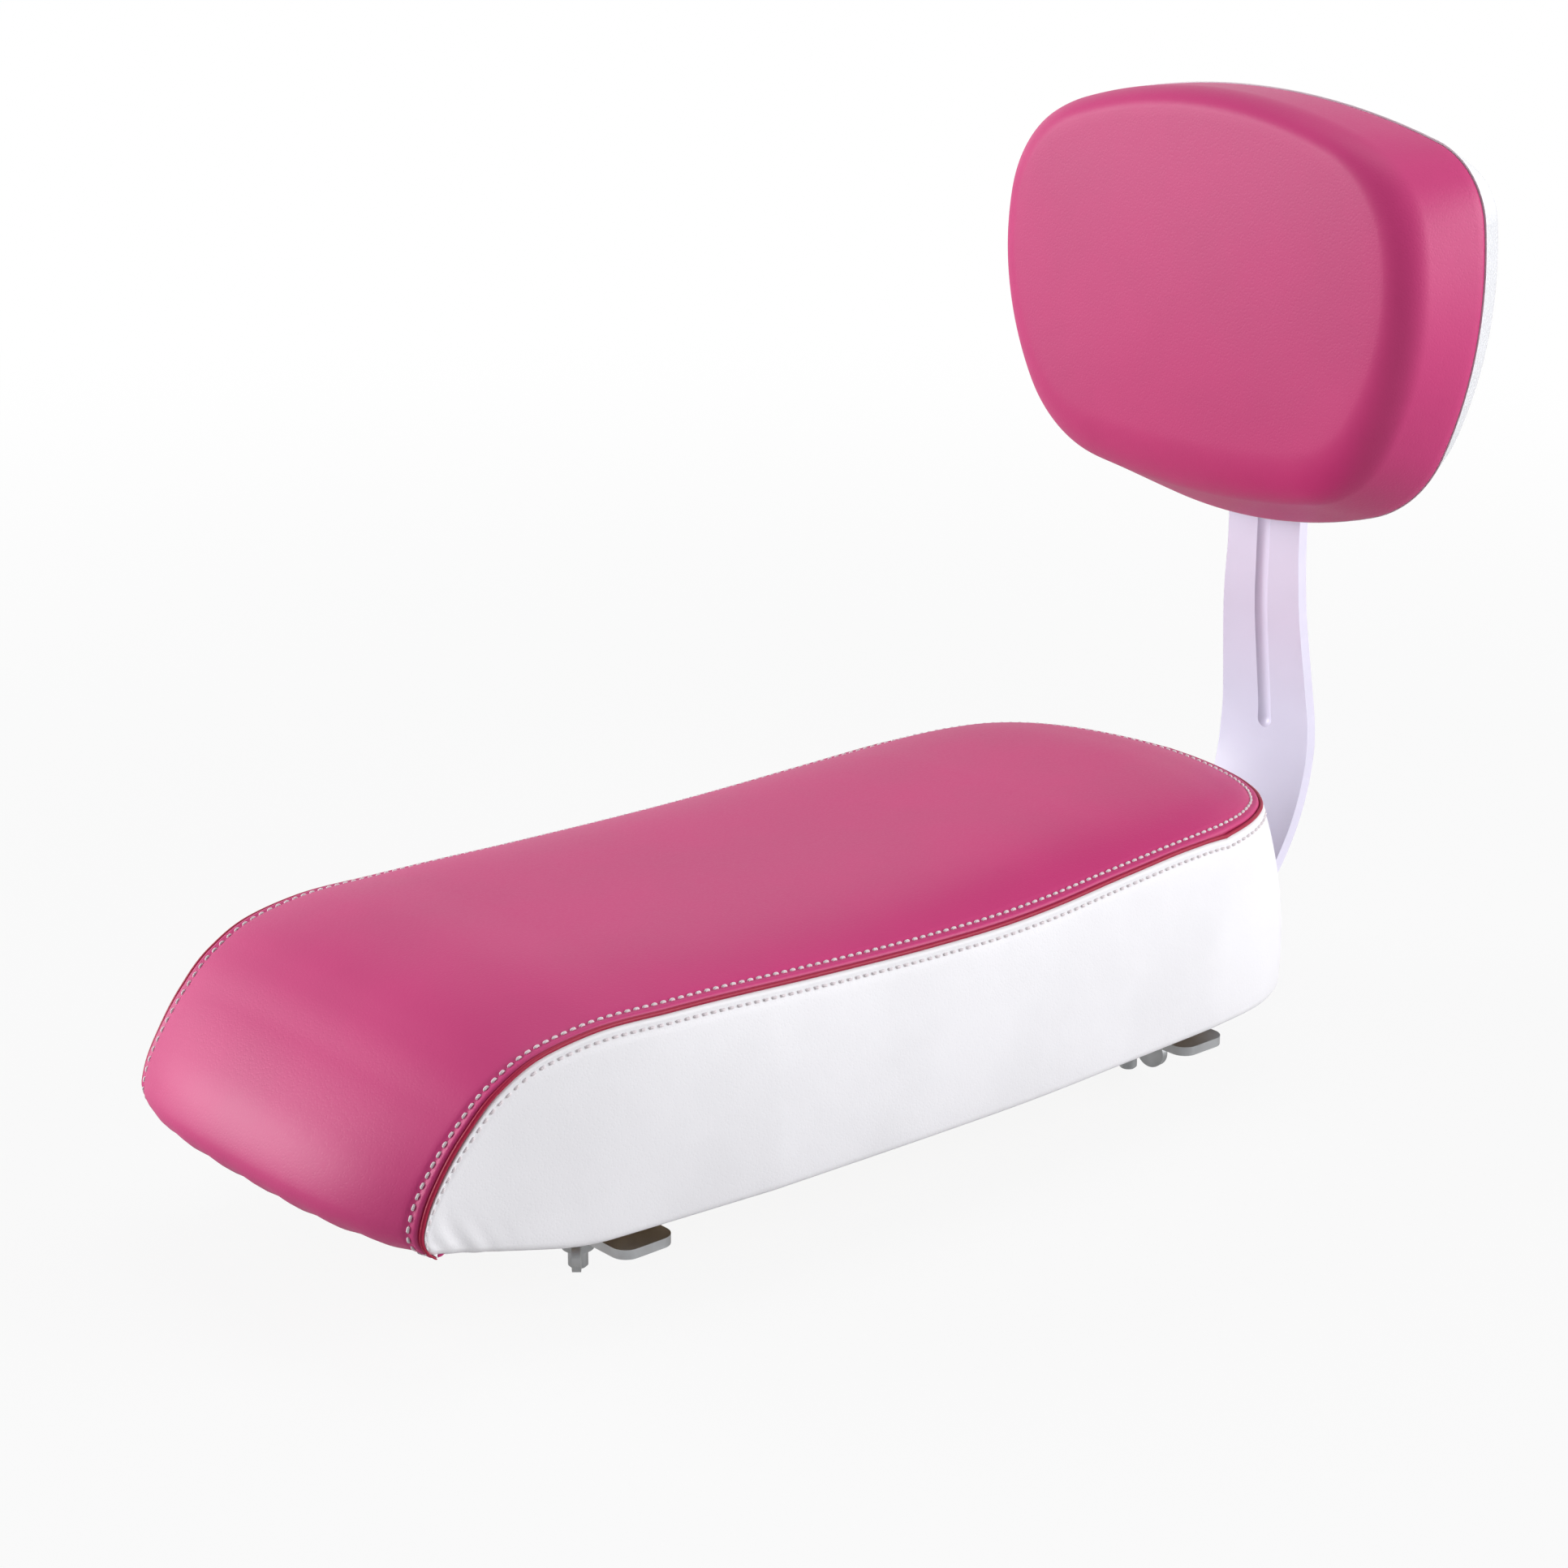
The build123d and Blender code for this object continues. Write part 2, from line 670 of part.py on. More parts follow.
def make_backrest_shell(shell_outer, shell_inner):
    hole_radius = screw_radius + screw_clearance
    recess_radius = screw_head_radius + screw_clearance
    boss_end = rim_y + shell_depth - shell_wall / 2
    bosses = []
    cuts = []
    for x, z in shell_screw_points:
        bosses.append(rearward_cylinder(x, z, board_back_y, boss_end, boss_radius))
        cuts.append(rearward_cylinder(x, z, rim_y, screw_seat_y + shell_wall, hole_radius))
        cuts.append(rearward_cylinder(x, z, screw_seat_y, bar_y + shell_depth, recess_radius))
    reach = bar_top_width / 2 + bar_slot_clearance
    slot_front = bar_front_y - bar_slot_clearance
    slot_back = bar_back_y + bead_depth + bar_slot_clearance
    low = backrest_centre_z - backrest_height
    cuts.append(block(-reach, reach, slot_front, slot_back, low, backrest_centre_z - backrest_height / 4))
    return shell_outer - shell_inner + bosses - cuts


def make_shell_screws():
    shank = rearward_cylinder(0, 0, screw_tip_y, screw_seat_y, screw_radius)
    head = Pos(0, screw_seat_y, 0) * Rot(-90, 0, 0) * button_head(screw_head_radius, screw_head_height)
    screw = head + shank
    return [Pos(x, 0, z) * screw for x, z in shell_screw_points]


def save(name, shape):
    if isinstance(shape, list):
        solids = []
        for item in shape:
            solids += item.solids()
        shape = Compound(children=solids)
    export_step(shape, "parts/" + name + ".step")


wall_inner = seat_wall_body(cover_thickness)
crown_inner = seat_crown_body(cover_thickness)
underside = above_underside(board_bottom)
envelope = seat_wall_body(0) & seat_crown_body(0) & above_underside(0)
front_hem = make_front_hem(envelope, crown_inner, underside)
pad_outer = rounded_backrest(-backrest_pad_depth, 0, pad_slope, pad_edge_radius)
pad_inner = bevelled_backrest(cover_thickness - backrest_pad_depth, -cover_thickness, pad_slope, pad_bevel)
shell_outer = rounded_backrest(shell_depth, shell_lap, shell_slope, shell_edge_radius)
shell_inner = bevelled_backrest(shell_depth - shell_wall, shell_lap - shell_wall, shell_slope, shell_bevel)

save("seat_top_cover", make_seat_top_cover(envelope, crown_inner, front_hem))
save("seat_side_band", make_seat_side_band(envelope, crown_inner, wall_inner, underside, front_hem))
save("seat_foam", make_seat_foam(wall_inner, crown_inner))
save("seat_base", make_seat_base(underside))
save("base_tee_nuts", make_base_tee_nuts())
save("backrest_bar", make_backrest_bar())
save("bar_bolts", make_bar_bolts())
save("bar_washers", make_bar_washers())
save("clamp_strip_front", make_clamp_strip(clamp_front_y))
save("clamp_strip_rear", make_clamp_strip(clamp_rear_y))
save("clamp_bolts", make_clamp_bolts())
save("clamp_washers", make_clamp_washers())
save("clamp_wing_nuts", make_clamp_wing_nuts())
save("backrest_cover", make_backrest_cover(pad_outer, pad_inner))
save("backrest_foam", make_backrest_foam(pad_inner))
save("backrest_board", make_backrest_board())
save("backrest_tee_nuts", make_backrest_tee_nuts())
save("backrest_bolts", make_backrest_bolts())
save("backrest_washers", make_backrest_washers())
save("backrest_shell", make_backrest_shell(shell_outer, shell_inner))
save("shell_screws", make_shell_screws())
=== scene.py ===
"""Covers, stitching, finishes and studio for a padded child seat that sits on a bicycle's rear carrier."""

import math

import bmesh
import bpy
import numpy as np
from bpy.props import FloatProperty, FloatVectorProperty, PointerProperty
from bpy.types import Operator, Panel, PropertyGroup
from mathutils import Matrix, Vector


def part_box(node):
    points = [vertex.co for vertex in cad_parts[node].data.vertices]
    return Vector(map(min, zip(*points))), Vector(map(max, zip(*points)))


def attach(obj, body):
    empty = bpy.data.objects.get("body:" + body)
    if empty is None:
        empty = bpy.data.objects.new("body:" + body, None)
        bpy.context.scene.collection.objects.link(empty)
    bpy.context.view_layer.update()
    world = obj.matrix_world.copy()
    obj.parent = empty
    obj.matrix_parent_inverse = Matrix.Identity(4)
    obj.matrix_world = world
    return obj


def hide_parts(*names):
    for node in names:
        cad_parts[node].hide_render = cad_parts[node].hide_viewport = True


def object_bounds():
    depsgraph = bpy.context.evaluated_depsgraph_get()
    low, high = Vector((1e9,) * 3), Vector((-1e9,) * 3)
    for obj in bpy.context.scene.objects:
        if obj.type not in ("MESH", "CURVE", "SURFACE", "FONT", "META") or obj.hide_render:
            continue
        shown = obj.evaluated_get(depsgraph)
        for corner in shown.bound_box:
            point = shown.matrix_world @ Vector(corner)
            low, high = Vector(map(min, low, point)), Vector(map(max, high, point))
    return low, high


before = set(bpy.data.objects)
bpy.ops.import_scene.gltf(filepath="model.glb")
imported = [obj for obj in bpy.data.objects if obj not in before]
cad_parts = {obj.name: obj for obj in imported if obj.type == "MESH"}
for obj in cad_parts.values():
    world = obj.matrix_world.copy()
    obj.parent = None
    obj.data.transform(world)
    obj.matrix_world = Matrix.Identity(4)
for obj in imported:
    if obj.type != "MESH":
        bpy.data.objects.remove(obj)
CAD_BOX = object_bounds()

bl_info = {
    "name": "Child Bike Seat",
    "version": (1, 0, 0),
    "blender": (4, 5, 0),
    "location": "3D View > Sidebar > Bike Seat",
    "description": "Sews the covers of a child bike seat onto its frame, finishes every piece and lights it",
    "category": "Object",
}

MM = 0.001
TOP_LOW, TOP_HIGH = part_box("seat_top_cover")
PAD_LOW, PAD_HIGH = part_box("backrest_cover")
SHELL_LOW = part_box("backrest_shell")[0]

# Seam line of the cushion in side view, nose to rear, in half lengths and seam heights
SEAM_PROFILE = [
    (-1.002, 0.110), (-1.000, 0.194), (-0.994, 0.303), (-0.982, 0.411), (-0.958, 0.532), (-0.912, 0.706),
    (-0.852, 0.861), (-0.781, 0.958), (-0.688, 1.000), (-0.530, 0.994), (-0.230, 0.970), (0.126, 0.958),
    (0.508, 0.978), (1.000, 1.028),
]

# How much of the crown is left towards the rear edge: share of the way there, share of the crown
REAR_FADE = [(0.55, 1.00), (0.80, 0.89), (0.90, 0.65), (0.96, 0.33), (1.00, 0.00), (1.05, -0.60)]

# Left edge of the cushion in plan, nose to rear, in half widths and half lengths
SIDE_OUTLINE = [
    (0.913, -1.200), (0.925, -0.995), (0.957, -0.656), (0.982, -0.273), (0.997, 0.000), (1.000, 0.180),
    (0.993, 0.290), (0.978, 0.410), (0.962, 0.550), (0.938, 0.700), (0.889, 0.803), (0.816, 0.869),
    (0.697, 0.921), (0.553, 0.955), (0.368, 0.980), (0.184, 0.994), (0.000, 1.000),
]

# In half lengths: where the rear edge begins, and the point that the top's rows run towards
REAR_START = 0.3
FOCUS = 0.60

# Seam below the highest part of the top, and half the length of the bend in the underside
SEAM_DROP = 0.0082
NOSE_BEND = 9.4 * MM

# Spacing of points along the seam, for the covers and for the line of the stitches
COVER_STEP = 1.4 * MM
STITCH_STEP = 0.7 * MM

# From the nose's tip: where its crown, rolled edge and gathers begin to fade, and where they end
NOSE_CROWN = (30 * MM, 120 * MM)
NOSE_EDGE = (8 * MM, 45 * MM)
NOSE_GATHERS = (4 * MM, 40 * MM)
TUCK_PITCH = 17 * MM
GATHER_PITCHES = (8 * MM, 13 * MM)

# The covers beside the seam: the groove, the puff next to it and the row of stitches
GROOVE_WIDTH = 1.0 * MM
PUFF_PLACE, PUFF_WIDTH, PUFF_HEIGHT = 2.0 * MM, 0.9 * MM, 0.25 * MM
STITCH_ROW, CHANNEL_WIDTH = 3.7 * MM, 0.9 * MM
FAR_FROM_SEAM = 0.05

# Inside the seam: the depths of its allowance, and the cord of the folded edge
TUCK_DEPTHS = np.array([0.0, 2.0, 6.0]) * MM
CORD_RADIUS, CORD_DEPTH, CORD_SIDES = 0.68 * MM, 0.55 * MM, 10

# The top cover's hem under the nose: its width, rows, sag and gap to the board
NOSE_HEM = 16 * MM
NOSE_HEM_ROWS = (0.06, 0.14, 0.25, 0.4, 0.6, 0.8, 1.0)
NOSE_SAG = 0.8 * MM
BOARD_GAP = 0.3 * MM

# The band's hem: its rounding, turns of that in degrees, rows inwards in millimetres, and turned-up edge
BAND_ROLL = 3.0 * MM
BAND_TURNS = (22, 45, 68, 90)
BAND_ROWS = (2.0, 5.0, 9.0, 13.0)
BAND_EDGE = 1.1 * MM

# A stitch: its sides and rings, how far its middle bows up, and how far its ends sink
STITCH_SIDES, STITCH_RINGS = 8, 9
STITCH_BOW, STITCH_SINK = 0.30 * MM, 0.12 * MM

# The pad: points round it, depth and inset on the shell's lip in millimetres, and its sides' bulge
PAD_COLUMNS = 420
PAD_LIP = ((-1.5, 5.0), (-0.3, 2.4), (0.05, 1.2), (0.05, 0.1), (0.4, -0.4))
PAD_BULGE = 0.6 * MM

# The studio: each lamp's place and width, what the lamps point at, and half the floor's width
LAMPS = {
    "front_lamp": ((-1.30, -1.25, 0.56), 1.4),
    "side_lamp": ((1.50, 1.02, 0.66), 1.4),
    "top_lamp": ((0.10, 0.20, 1.75), 1.2),
}
LAMP_AIM = (0.0, 0.06, 0.08)
FLOOR_HALF = 4

# How white the floor looks near the seat, where it turns fully white, and how much of that mirrors show
FLOOR_GLOW = 0.90
FLOOR_FADE = (0.35, 1.4)
FLOOR_MIRRORED = 0.3

# The studio's dark side in mirrors: cosines to the camera's direction where it begins and ends, and its share
DARK_SIDE = (0.35, 0.9)
DARK_SHARE = 0.9


def paint(red, green, blue):
    """A colour given from 0 to 255, as the shader's own light values."""
    values = []
    for channel in (red, green, blue):
        share = channel / 255
        values.append(share / 12.92 if share <= 0.04045 else ((share + 0.055) / 1.055) ** 2.4)
    return tuple(values)


def length_setting(name, description, default):
    return FloatProperty(name=name, description=description, default=default, unit="LENGTH", precision=5)


def number_setting(name, description, default, unit="NONE"):
    return FloatProperty(name=name, description=description, default=default, unit=unit)


def colour_setting(name, description, default):
    return FloatVectorProperty(
        name=name, description=description, default=default, subtype="COLOR", size=3, min=0.0, max=1.0
    )


class CushionSizes(PropertyGroup):
    length: length_setting("Length", "Nose to rear of the top", TOP_HIGH.y - TOP_LOW.y)
    width: length_setting("Width", "Widest part of the top", 0.152)
    crown: length_setting("Crown", "How far the top swells above its seam", 0.008)
    seam_height: length_setting("Seam height", "Seam above the hem", TOP_HIGH.z - SEAM_DROP)
    flare: length_setting("Flare", "How far the side band swells below the seam", 0.0063)
    nose_run: length_setting("Nose run", "Length of the underside that slopes up to the nose", 0.054)
    nose_slope: number_setting("Nose slope", "Rise of the nose's soft lower edge", 0.22)
    board_slope: number_setting("Board slope", "Rise of the board under the nose", 0.32)
    chin: length_setting("Chin", "How far the nose swells above its lower edge", 0.010)
    nose_roll: length_setting("Nose roll", "Rounding where the nose turns under", 0.008)
    hem: length_setting("Hem", "Width of the cover turned in under the base", 0.0195)
    pucker: length_setting("Pucker", "Height of the small gathers at the nose", 0.0006)
    groove: length_setting("Seam groove", "Depth of the seam between the two covers", 0.0011)
    channel: length_setting("Stitch channel", "How far the thread pulls the cover down", 0.0005)


class StitchSizes(PropertyGroup):
    pitch: length_setting("Pitch", "From one stitch to the next", 0.0031)
    length: length_setting("Stitch length", "Thread that shows between two holes", 0.0020)
    radius: length_setting("Thread radius", "Half the thread's thickness", 0.00046)
    from_seam: length_setting("Row distance", "From the seam to each row of stitches", STITCH_ROW)


OUTLINE_TEXTS = {
    "top": ("Top", "Top above the pad's middle"),
    "bottom": ("Bottom", "Bottom below the pad's middle"),
    "side": ("Side", "Side from the pad's middle"),
    "shoulder": ("Shoulder", "Upper corner from the middle"),
    "shoulder_level": ("Shoulder level", "Upper corner's height"),
    "hip": ("Hip", "Lower corner from the middle"),
    "hip_level": ("Hip level", "Lower corner's depth"),
    "top_corner": ("Top corners", "Rounding of the upper corners"),
    "bottom_corner": ("Bottom corners", "Rounding of the lower corners"),
}
PAD_HALF = (PAD_HIGH.z - PAD_LOW.z) / 2


def outline_settings(class_name, **lengths):
    """A group of settings for one outline of the backrest."""
    fields = {key: length_setting(*OUTLINE_TEXTS[key], length) for key, length in lengths.items()}
    return type(class_name, (PropertyGroup,), {"__annotations__": fields})


RimOutline = outline_settings(
    "RimOutline", top=PAD_HALF, bottom=PAD_HALF, side=0.0945, shoulder=0.0913, shoulder_level=0.0555,
    hip=0.07425, hip_level=0.0555, top_corner=0.028, bottom_corner=0.044,
)
FrontOutline = outline_settings(
    "FrontOutline", top=0.0738, bottom=0.0568, side=0.0892, shoulder=0.0788, shoulder_level=0.0560,
    hip=0.0628, hip_level=0.0525, top_corner=0.046, bottom_corner=0.042,
)


class BackrestSizes(PropertyGroup):
    rim: PointerProperty(type=RimOutline)
    front: PointerProperty(type=FrontOutline)
    depth: length_setting("Depth", "Pad in front of the shell, at its rounded edge", SHELL_LOW.y - PAD_LOW.y)
    dome: length_setting("Dome", "How far the middle of the pad swells", 0.0022)
    edge: length_setting("Edge radius", "Rounding round the pad's front", 0.010)


class Finishes(PropertyGroup):
    pink: colour_setting("Pink", "Leatherette of the top and the pad", paint(200, 58, 121))
    # Painted shade: this dark crimson stands in for the shade in the fold along the seam.
    painted_fold_shade: colour_setting("Crimson", "The fold along the seam", paint(158, 2, 54))
    white: colour_setting("White", "Leatherette of the side band", paint(240, 239, 243))
    thread: colour_setting("Thread", "Stitching", paint(246, 236, 240))
    bar: colour_setting("Bar", "Paint on the steel bar", paint(228, 223, 243))
    shell: colour_setting("Shell", "Plastic behind the pad", paint(230, 231, 236))
    steel: colour_setting("Steel", "Zinc plating", paint(196, 198, 200))
    board: colour_setting("Board", "Plywood", paint(196, 160, 112))


class StudioSettings(PropertyGroup):
    azimuth: number_setting("Azimuth", "Camera's turn from straight ahead", math.radians(48.79), "ROTATION")
    elevation: number_setting("Elevation", "Camera's angle above the horizon", math.radians(17.93), "ROTATION")
    roll: number_setting("Roll", "Camera's lean", math.radians(0.16), "ROTATION")
    camera: FloatVectorProperty(
        name="Camera", description="Where the camera stands", default=(0.7844, -0.6800, 0.4258),
        subtype="TRANSLATION", size=3,
    )
    lens: number_setting("Lens", "Focal length in millimetres", 81.69, "CAMERA")
    front_lamp: number_setting("Front lamp", "Soft lamp on the left", 35.0, "POWER")
    side_lamp: number_setting("Side lamp", "Soft lamp on the right", 31.0, "POWER")
    top_lamp: number_setting("Top lamp", "Soft lamp overhead", 6.0, "POWER")
    ambient: number_setting("Ambient", "Light from all round", 0.22)


class SeatSettings(PropertyGroup):
    cushion: PointerProperty(type=CushionSizes)
    stitch: PointerProperty(type=StitchSizes)
    backrest: PointerProperty(type=BackrestSizes)
    finish: PointerProperty(type=Finishes)
    studio: PointerProperty(type=StudioSettings)


# Curves and meshes


def smooth_line(points, per_span=24):
    """A smooth line through points of uneven spacing."""
    points = np.array(points, float)
    gaps = np.linalg.norm(np.diff(points, axis=0), axis=1)
    speeds = np.diff(points, axis=0) / gaps[:, None]
    slopes = np.empty_like(points)
    slopes[0] = speeds[0]
    slopes[-1] = speeds[-1]
    before = gaps[:-1, None]
    after = gaps[1:, None]
    slopes[1:-1] = (speeds[:-1] * after + speeds[1:] * before) / (before + after)
    t = np.linspace(0, 1, per_span, endpoint=False)[:, None]
    spans = []
    for i, gap in enumerate(gaps):
        spans.append(
            points[i] * (2 * t**3 - 3 * t**2 + 1)
            + slopes[i] * gap * (t**3 - 2 * t**2 + t)
            + points[i + 1] * (3 * t**2 - 2 * t**3)
            + slopes[i + 1] * gap * (t**3 - t**2)
        )
    spans.append(points[-1:])
    return np.vstack(spans)


def travelled(line):
    """How far along a line each of its points lies."""
    return np.concatenate([[0.0], np.cumsum(np.linalg.norm(np.diff(line, axis=0), axis=1))])


def respaced(line, count):
    """The same line with its points evenly spaced."""
    travel = travelled(line)
    steps = np.linspace(0, travel[-1], count)
    return np.column_stack([np.interp(steps, travel, line[:, i]) for i in range(line.shape[1])])


def unit(vectors):
    return vectors / np.maximum(np.linalg.norm(vectors, axis=-1, keepdims=True), 1e-12)


def hump(distance, middle, width):
    """A smooth bump of height 1 round a distance."""
    return np.exp(-(((distance - middle) / width) ** 2))


def ease(low, high, value):
    share = np.clip((value - low) / (high - low), 0.0, 1.0)
    return share * share * (3 - 2 * share)


def grid_faces(rows, columns, closed=False):
    """Quads of a grid whose points run row by row."""
    faces = []
    last = columns if closed else columns - 1
    for i in range(rows - 1):
        for j in range(last):
            k = (j + 1) % columns
            faces.append((i * columns + j, i * columns + k, (i + 1) * columns + k, (i + 1) * columns + j))
    return faces


def join_grids(grids):
    """One list of points, faces and named values from several grids."""
    points, faces, values = [], [], {}
    start = 0
    for grid, closed, marks in grids:
        rows, columns = grid.shape[:2]
        points.append(grid.reshape(-1, 3))
        for face in grid_faces(rows, columns, closed):
            faces.append(tuple(start + i for i in face))
        for name, value in marks.items():
            values.setdefault(name, []).append(np.asarray(value, float).reshape(-1))
        start += rows * columns
    return np.vstack(points), faces, {name: np.concatenate(value) for name, value in values.items()}


def new_piece(name, material, points, faces, values, merge=2e-5):
    """A smooth mesh in the frame's own place. Values are kept on its points for the material."""
    mesh = bpy.data.meshes.new(name)
    mesh.from_pydata([tuple(p) for p in points], [], faces)
    for key, value in values.items():
        layer = mesh.attributes.new(key, "FLOAT", "POINT")
        layer.data.foreach_set("value", np.asarray(value, np.float32))
    work = bmesh.new()
    work.from_mesh(mesh)
    if merge:
        bmesh.ops.remove_doubles(work, verts=work.verts, dist=merge)
    bmesh.ops.recalc_face_normals(work, faces=work.faces)
    for face in work.faces:
        face.smooth = True
    work.to_mesh(mesh)
    work.free()
    mesh.materials.append(material)
    piece = bpy.data.objects.new(name, mesh)
    bpy.context.scene.collection.objects.link(piece)
    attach(piece, "root")
    return piece


class CushionForm:
    """The cushion's shape: its seam, the crowned top above it and the side band below it."""

    def __init__(self, sizes):
        self.sizes = sizes
        self.half_length = sizes.length / 2
        self.half_width = sizes.width / 2
        self.profile = smooth_line(SEAM_PROFILE) * (self.half_length, sizes.seam_height)
        self.travel = travelled(self.profile)
        self.side = smooth_line(SIDE_OUTLINE) * (self.half_width, self.half_length)
        self.rear = self.side[self.side[:, 1] > REAR_START * self.half_length][::-1]
        self.fade = smooth_line(REAR_FADE)
        self.focus_y = FOCUS * self.half_length
        self.focus = np.interp(self.focus_y, self.profile[:, 0], self.travel)

    def base(self, travel):
        y = np.interp(travel, self.travel, self.profile[:, 0])
        z = np.interp(travel, self.travel, self.profile[:, 1])
        return y, z

    def travel_at(self, y):
        return np.interp(y, self.profile[:, 0], self.travel)

    def aside(self, x, y):
        """0 in the middle of the cushion and 1 at the seam on its side."""
        edge = np.maximum(np.interp(y, self.side[:, 1], self.side[:, 0]), MM)
        return np.minimum(np.abs(x) / edge, 1.0)

    def at_nose(self, y, ends):
        """1 at the nose and 0 behind it, with a smooth step between two distances from its tip."""
        return 1 - ease(*ends, y + self.half_length)

    def crown(self, x, y, z):
        """How far the top swells above its seam, and the chin that swells above the nose's lower edge."""
        share = np.abs(x) / self.half_width
        level = z / self.sizes.seam_height
        climb = np.clip((level - 0.3) / 0.6, 0.0, 1.0)
        reach = np.interp(np.minimum(share, 0.93) * self.half_width, self.rear[:, 0], self.rear[:, 1])
        fade = np.interp(y / reach, self.fade[:, 0], self.fade[:, 1])
        square = 5 - 2.2 * self.at_nose(y, NOSE_CROWN)
        chin = self.sizes.chin * (1 - self.aside(x, y) ** 3) * (1 - ease(0.25, 0.90, level))
        swell = self.sizes.crown * (1 - share**square) * np.where(y > 0, fade, 0.5 + 0.5 * climb)
        return swell + np.where(y > 0, 0.0, chin)

    def top(self, x, travel):
        """Points of the crowned top, at a distance from the middle and along the seam's side view."""
        y, z = self.base(travel)
        step = 0.4 * MM
        y0, z0 = self.base(travel - step)
        y1, z1 = self.base(travel + step)
        slope = np.hypot(y1 - y0, z1 - z0)
        rise = self.crown(x, y, z)
        return np.stack([x, y - (z1 - z0) / slope * rise, z + (y1 - y0) / slope * rise], axis=-1)

    def underside(self, y):
        """Height of the covers' lower edge, which turns up under the nose."""
        return self.turned_up(y, self.sizes.nose_slope)

    def board_level(self, y):
        """Height of the board's underside, which turns up more than the covers do."""
        return self.turned_up(y, self.sizes.board_slope)

    def turned_up(self, y, slope):
        """Flat at 0, then a rounded bend, then a straight slope up to the nose."""
        bend = -self.half_length + self.sizes.nose_run
        turn = slope * (bend + NOSE_BEND - y) ** 2 / (4 * NOSE_BEND)
        return np.where(y > bend + NOSE_BEND, 0.0, np.where(y < bend - NOSE_BEND, slope * (bend - y), turn))

    def flare(self, y, z):
        """How far the side band stands out from the top's outline."""
        widest = 0.22 * self.sizes.seam_height
        swell = self.sizes.flare * (1 - ((z - widest) / (self.sizes.seam_height - widest)) ** 2)
        place = y / self.half_length
        along = np.clip((place + 0.95) / 0.6, 0.0, 1.0)
        behind = np.clip((place - 0.7) / 0.25, 0.0, 1.0)
        return swell * along * (1 + 0.3 * behind)

    def half_seam(self, spacing):
        """The seam's plan, nose to the middle of the rear, with the plan's outward direction."""
        side_y = self.profile[self.profile[:, 0] < self.focus_y]
        nose_x = np.interp(side_y[:, 0], self.side[:, 1], self.side[:, 0])
        front = np.column_stack([nose_x, side_y])
        lift = front[:, 2] > self.underside(front[:, 1]) + 0.4 * MM
        back = self.side[self.side[:, 1] >= self.focus_y]
        back = np.column_stack([back, np.interp(back[:, 1], self.profile[:, 0], self.profile[:, 1])])
        line = np.vstack([front[lift], back])
        line = respaced(line, int(travelled(line)[-1] / spacing))
        line[-1, 0] = 0.0
        heading = np.gradient(line[:, :2], axis=0)
        heading[-1] = (-1.0, 0.0)
        outward = unit(np.column_stack([heading[:, 1], -heading[:, 0]]))
        outline = line[:, :2].copy()
        place = outline.copy()
        for _ in range(3):
            height = self.top(place[:, 0], self.travel_at(place[:, 1]))[:, 2]
            place = outline + outward * self.flare(outline[:, 1], height)[:, None]
        return outline, outward, place

    def seam(self, spacing):
        """The whole seam from the left of the nose round the rear to its right."""
        outline, outward, place = self.half_seam(spacing)
        flip = np.array([-1.0, 1.0])
        self.outline = np.vstack([outline, outline[-2::-1] * flip])
        self.outward = np.vstack([outward, outward[-2::-1] * flip])
        self.place = np.vstack([place, place[-2::-1] * flip])
        self.seam_travel = self.travel_at(self.place[:, 1])
        self.seam_points = self.top(self.place[:, 0], self.seam_travel)
        self.along = travelled(self.seam_points)
        self.middle = np.minimum(self.seam_travel, self.focus)
        self.span = np.hypot(self.place[:, 0], self.seam_travel - self.middle)
        self.out = np.column_stack([self.outward, np.zeros(len(self.outward))])
        return self

    def towards_middle(self, shares):
        """Distance aside and travel, by shares of the way from the seam to the middle of the top."""
        return self.place[:, 0] * (1 - shares), self.seam_travel * (1 - shares) + self.middle * shares

    def relief(self, distance):
        """How far the cover is pulled in near the seam: the groove, and the channel of the stitches."""
        sizes = self.sizes
        groove = sizes.groove * hump(distance, 0.0, GROOVE_WIDTH)
        channel = sizes.channel * hump(distance, STITCH_ROW, CHANNEL_WIDTH)
        puff = PUFF_HEIGHT * hump(distance, PUFF_PLACE, PUFF_WIDTH)
        return groove + channel - puff

    def pulled(self, points, normals, inward, distance):
        """Points moved in by the relief: towards the middle of the seam at the seam, else along the normal."""
        share = ease(0.0, 3.0 * MM, distance)[..., None]
        way = unit(inward * (1 - share) - normals * share)
        return points + way * self.relief(distance)[..., None]

    def rolled(self, points):
        """The nose's lower edge drawn back in a roll, so that it turns under the base."""
        roll = self.sizes.nose_roll
        nose = self.at_nose(points[..., 1], NOSE_EDGE)
        lack = np.clip(1 - (points[..., 2] - self.underside(points[..., 1])) / roll, 0.0, 1.0)
        back = nose * roll * (1 - np.sqrt(1 - lack**2))
        moved = points.copy()
        moved[..., 1] += back
        tucks = 0.5 + 0.5 * np.sin(2 * math.pi * points[..., 0] / TUCK_PITCH)
        moved[..., 2] -= back * self.sizes.nose_slope * lack + self.sizes.pucker * tucks * nose * lack
        return moved

    def puckers(self, y, above, distance):
        """Small gathers of the band above its hem, near the nose."""
        nose = self.at_nose(y, NOSE_GATHERS)
        fade = (1 - ease(0.0, 13 * MM, above)) * ease(4 * MM, 12 * MM, distance)
        short, long = GATHER_PITCHES
        wave = np.sin(2 * math.pi * (y + 0.5 * above) / short) + 0.6 * np.sin(2 * math.pi * y / long)
        return 0.45 * self.sizes.pucker * nose * fade * wave

    def inward(self):
        """At each place of the seam, the direction into the cushion between the two covers."""
        return -unit(self.top_normals(self.place[:, 0], self.seam_travel) + self.out)

